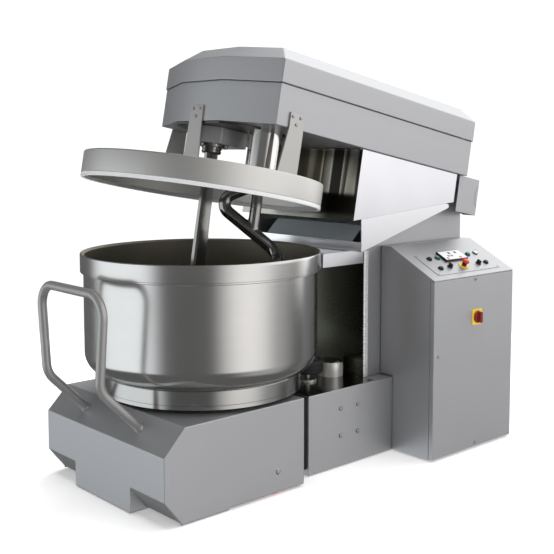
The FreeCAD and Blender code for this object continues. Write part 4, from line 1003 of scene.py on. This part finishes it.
piece("pilotLamp", lampMesh(), "lamp_white", "machine", ["pilot_lamp"], onPlate(lampSpot), 40.0)

estop = {"ringR": 0.0270, "ringHigh": 0.003, "neckR": 0.0125, "neckLow": 0.0086, "neckTop": 0.0222, "headR": 0.0190,
         "headLow": 0.0220, "headTop": 0.0370}
estopSpot = centreOf("estop_ring")


def mushroomMesh():
    radius, low, top = estop["headR"], estop["headLow"], estop["headTop"]
    profile = [(0, controls["stem"]), (controls["stemR"], controls["stem"]), (controls["stemR"], low),
               (radius - 0.004, low), (radius - 0.0008, low + 0.0015), (radius, low + 0.004)]
    for step in range(1, 9):
        angle = math.radians(90 * step / 8)
        profile.append((radius * math.cos(angle) ** 0.6, low + 0.004 + (top - low - 0.004) * math.sin(angle)))
    return revolved([*profile[:-1], (0, top)], 80, closed=False)


ringBase = softened([(0.0114, 0.0), (estop["ringR"], 0.0), (estop["ringR"] - 0.0006, estop["ringHigh"]),
                     (0.0114, estop["ringHigh"])], 0.0008, 3)
piece("estopRing", revolved(ringBase, 96), "yellow_plastic", "machine", ["estop_ring"],
      onPlate(estopSpot), 30.0)
neckProfile = softened([(0.0086, estop["neckLow"]), (estop["neckR"], estop["neckLow"]),
                        (estop["neckR"] - 0.0010, estop["neckTop"]), (0.0086, estop["neckTop"])], 0.0006, 2)
piece("estopNeck", revolved(neckProfile, 64), "black_plastic", "estop", (), onPlate(estopSpot), 30.0)
piece("estopMushroom", mushroomMesh(), "red_plastic", "estop", ["estop_button"], onPlate(estopSpot), 40.0)

display = {"halfDown": 0.038, "halfWide": 0.084, "corner": 0.003, "high": 0.0112, "face": 0.0120,
           "margin": 0.004, "keyHalf": 0.0068, "rows": (-0.016, 0.006, 0.024),
           "columns": (-0.060, -0.036, -0.012, 0.012, 0.036, 0.060)}
keyColours = {
    "lightKeys": ("white_plastic", ((0, 1), (0, 3), (1, 0), (1, 4), (2, 2), (2, 5))),
    "redKeys": ("red_plastic", ((1, 1), (2, 4))),
    "greenKeys": ("green_plastic", ((1, 2), (2, 0))),
    "darkWindows": ("black_plastic", ((0, 2), (0, 4))),
}
displaySeat = onPlate(centreOf("display_panel"))
piece("displayHousing", slab(display["halfDown"], display["halfWide"], display["corner"], 0.0, display["high"],
                             0.0012), "black_plastic", "machine", ["display_panel"], displaySeat, 30.0)
piece("displayFace", slab(display["halfDown"] - display["margin"], display["halfWide"] - display["margin"],
                          display["corner"], display["high"] - 0.0006, display["face"] - 0.0004, 0.0003),
      "white_plastic", "machine", (), displaySeat, 30.0)
for name, (slotName, cells) in keyColours.items():
    keys = []
    for row, column in cells:
        key = slab(display["keyHalf"], display["keyHalf"] * 1.2, 0.0022, display["high"], display["face"], 0.0003)
        keys.append(placed(key, Matrix.Translation((display["rows"][row], display["columns"][column], 0))))
    piece(name, joined(keys), slotName, "machine", (), displaySeat, 30.0)

plateLow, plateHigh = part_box("control_plate")
plateScrews = {"inset": 0.010, "radius": 0.0036, "high": 0.0016}


def screwSpots():
    # near the plate's four corners, from its box and its lean
    middle = centreOf("control_plate")
    halfDown = (plateHigh.x - plateLow.x) / 2 / slopeDown.x - plateScrews["inset"]
    halfWide = (plateHigh.y - plateLow.y) / 2 - plateScrews["inset"]
    return [middle + slopeDown * halfDown * along + Vector((0, halfWide * across, 0))
            for along in (-1, 1) for across in (-1, 1)]


screwMeshes = [placed(boltHead(plateScrews["radius"], plateScrews["high"]), onPlate(spot)) for spot in screwSpots()]
piece("plateScrews", joined(screwMeshes), "machined_steel", "machine", crease=20.0)
print("control face done")


# main switch and door latches
switch = {"corner": 0.006, "edge": 0.0015, "knobR": 0.0288, "knobLow": 0.0045, "knobTop": 0.0150,
          "notches": 24, "gripHalf": 0.0078, "gripLong": 0.0268, "gripTop": 0.0320}
switchRed = mouldedPlastic("switchRed", rgba(0.20, 0.012, 0.010), rgba(0.30, 0.025, 0.018), 0.3)
switchLow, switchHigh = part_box("switch_plate")
switchSeat = facing((1, 0, 0), Vector((switchLow.x, *((switchLow + switchHigh) / 2)[1:])))


def switchPlateMesh():
    high = switchHigh.x - switchLow.x
    plate = slab((switchHigh.y - switchLow.y) / 2, (switchHigh.z - switchLow.z) / 2, switch["corner"], 0.0, high,
                 switch["edge"])
    return plate


def knobMesh():
    # fluted disc, bridge grip and short spindle
    rings = []
    for scale, height in ((1.0, switch["knobLow"]), (1.0, switch["knobTop"] - 0.002), (0.94, switch["knobTop"]),
                          (0.80, switch["knobTop"] + 0.0006), (0.76, switch["knobTop"] - 0.0016)):
        ring = []
        for step in range(switch["notches"] * 6):
            angle = math.tau * step / (switch["notches"] * 6)
            dent = 0.0012 * (0.5 + 0.5 * math.cos(angle * switch["notches"])) if scale > 0.9 else 0.0
            radius = switch["knobR"] * scale - dent
            ring.append((radius * math.cos(angle), radius * math.sin(angle), height))
        rings.append(ring)
    disc = lofted(rings)
    grip = slab(switch["gripHalf"], switch["gripLong"], 0.006, switch["knobTop"] - 0.002, switch["gripTop"], 0.003)
    spindle = revolved([(0, -0.020), (0.0078, -0.020), (0.0078, switch["knobLow"] + 0.001),
                        (0, switch["knobLow"] + 0.001)], 32, closed=False)
    return joined([disc, grip, spindle])


piece("switchPlate", switchPlateMesh(), "yellow_plastic", "door", ["switch_plate"], switchSeat, 30.0)
piece("mainSwitchKnob", knobMesh(), slotOfNode["main_switch_knob"], "main_switch", ["main_switch_knob"],
      switchSeat, 30.0, switchRed)

latch = {"radius": 0.0095, "high": 0.0034, "slotHalf": 0.0012, "places": ((0.036, 0.494), (0.313, 0.829),
                                                                         (0.328, 0.030))}


def latchMeshes():
    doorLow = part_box("cabinet_door")[0]
    heads = []
    slots = []
    for across, up in latch["places"]:
        seat = facing((1, 0, 0), Vector((switchLow.x, doorLow.y + across, up)))
        profile = [(0, 0), (latch["radius"], 0), (latch["radius"], latch["high"] * 0.6),
                   (latch["radius"] - 0.0010, latch["high"]), (0.0062, latch["high"]),
                   (0.0058, latch["high"] - 0.0003), (0, latch["high"] - 0.0003)]
        heads.append(placed(revolved(profile, 48, closed=False), seat))
        slots.append(placed(slab(0.0050, latch["slotHalf"], 0.0008, latch["high"] - 0.0004, latch["high"] + 0.0003,
                                 0.0002), seat))
    return joined(heads), joined(slots)


latchHeads, latchSlots = latchMeshes()
piece("latchHeads", latchHeads, "painted_grey", "door", crease=25.0)
piece("latchSlots", latchSlots, "black_plastic", "door", crease=25.0)
print("door pieces done")


# floor, light and camera
studio = {
    "eye": (3.271, -2.975, 1.480), "pitch": 85.26, "yaw": 47.96, "lens": 61.66, "shiftY": -0.10,
    "floorRadius": 3.4, "dim": 0.13, "backdrop": 1.08, "blur": 7.0,
}
softBoxes = [   # turned from +X in degrees; low and high are sines of the height
    {"turn": 106, "half": 37, "low": -0.10, "high": 0.80, "soft": 0.25, "power": 1.7, "tint": (1.0, 1.0, 1.0)},
    {"turn": 29, "half": 26, "low": -0.60, "high": 0.02, "soft": 0.05, "power": 0.46, "tint": (1.0, 1.0, 1.0)},
    {"turn": 44, "half": 20, "low": -0.04, "high": 0.70, "soft": 0.25, "power": 1.45, "tint": (1.0, 0.99, 1.0)},
    {"turn": 6, "half": 21, "low": -0.30, "high": 0.70, "soft": 0.25, "power": 1.3, "tint": (1.0, 0.985, 0.98)},
    {"turn": -118, "half": 36, "low": -0.35, "high": 0.14, "soft": 0.22, "power": 1.25,
     "tint": (0.93, 0.97, 1.0)},
]


def makeCamera():
    data = bpy.data.cameras.new("studioCamera")
    data.lens = studio["lens"]
    data.sensor_width = 36.0
    data.shift_y = studio["shiftY"]
    data.clip_end = 200.0
    camera = bpy.data.objects.new("studioCamera", data)
    camera.location = studio["eye"]
    camera.rotation_euler = (math.radians(studio["pitch"]), 0.0, math.radians(studio["yaw"]))
    bpy.context.scene.collection.objects.link(camera)
    bpy.context.scene.camera = camera


def makeFloor():
    mesh = bmesh.new()
    bmesh.ops.create_circle(mesh, cap_ends=True, radius=studio["floorRadius"], segments=96)
    data = bpy.data.meshes.new("studioFloor")
    mesh.to_mesh(data)
    mesh.free()
    floor = bpy.data.objects.new("studioFloor", data)
    bpy.context.scene.collection.objects.link(floor)
    finish = Finish("studioFloor", {"Roughness": 0.6, "Specular IOR Level": 0.2,
                                    "Emission Color": rgba(1.0, 1.0, 1.0), "Emission Strength": 0.35})
    finish.varies("Base Color", finish.blend(finish.noise(2.0), rgba(0.93, 0.93, 0.93), rgba(0.95, 0.95, 0.95)))
    data.materials.append(finish.material)
    floor.visible_glossy = False


def makeLight(name, spot, target, size, power, colour=(1.0, 1.0, 1.0)):
    data = bpy.data.lights.new(name, "AREA")
    data.shape = "RECTANGLE"
    data.size, data.size_y = size
    data.energy = power
    data.color = colour
    light = bpy.data.objects.new(name, data)
    light.location = spot
    light.rotation_euler = (Vector(target) - Vector(spot)).to_track_quat("-Z", "Y").to_euler()
    light.visible_glossy = False
    bpy.context.scene.collection.objects.link(light)


def makeSky():
    world = bpy.data.worlds.new("studioSky")
    world.use_nodes = True
    sky = Graph(world.node_tree)
    background = world.node_tree.nodes["Background"]
    turn = sky.node("ShaderNodeMath", {"operation": "ARCTAN2"},
                    {0: sky.axis("Y", "Generated"), 1: sky.axis("X", "Generated")})
    height = sky.axis("Z", "Generated")
    blur = math.radians(studio["blur"])
    colour = rgba(studio["dim"], studio["dim"], studio["dim"])
    for box in softBoxes:
        away = (turn - math.radians(box["turn"])).maths("COSINE", turn - math.radians(box["turn"]))
        edge = math.cos(math.radians(box["half"]))
        side = away.ease(edge - blur, edge + blur)
        lift = (height.ease(box["low"] - 0.1, box["low"])
                * (1 - height.ease(box["high"], box["high"] + box["soft"])))
        glow = [box["power"] * share for share in box["tint"]]
        colour = sky.blend(side * lift, colour, rgba(*glow))
    white = rgba(*[studio["backdrop"]] * 3)
    seen = sky.node("ShaderNodeLightPath", {}, {}, "Is Camera Ray")
    sky.feed(background.inputs["Color"], sky.blend(seen, colour, white))
    bpy.context.scene.world = world


makeCamera()
makeFloor()
makeSky()
makeLight("topLight", (0.0, 0.0, 5.0), (0.0, 0.0, 0.0), (5.0, 5.0), 290.0)
bpy.context.scene.view_settings.view_transform = "Standard"
print("studio done")
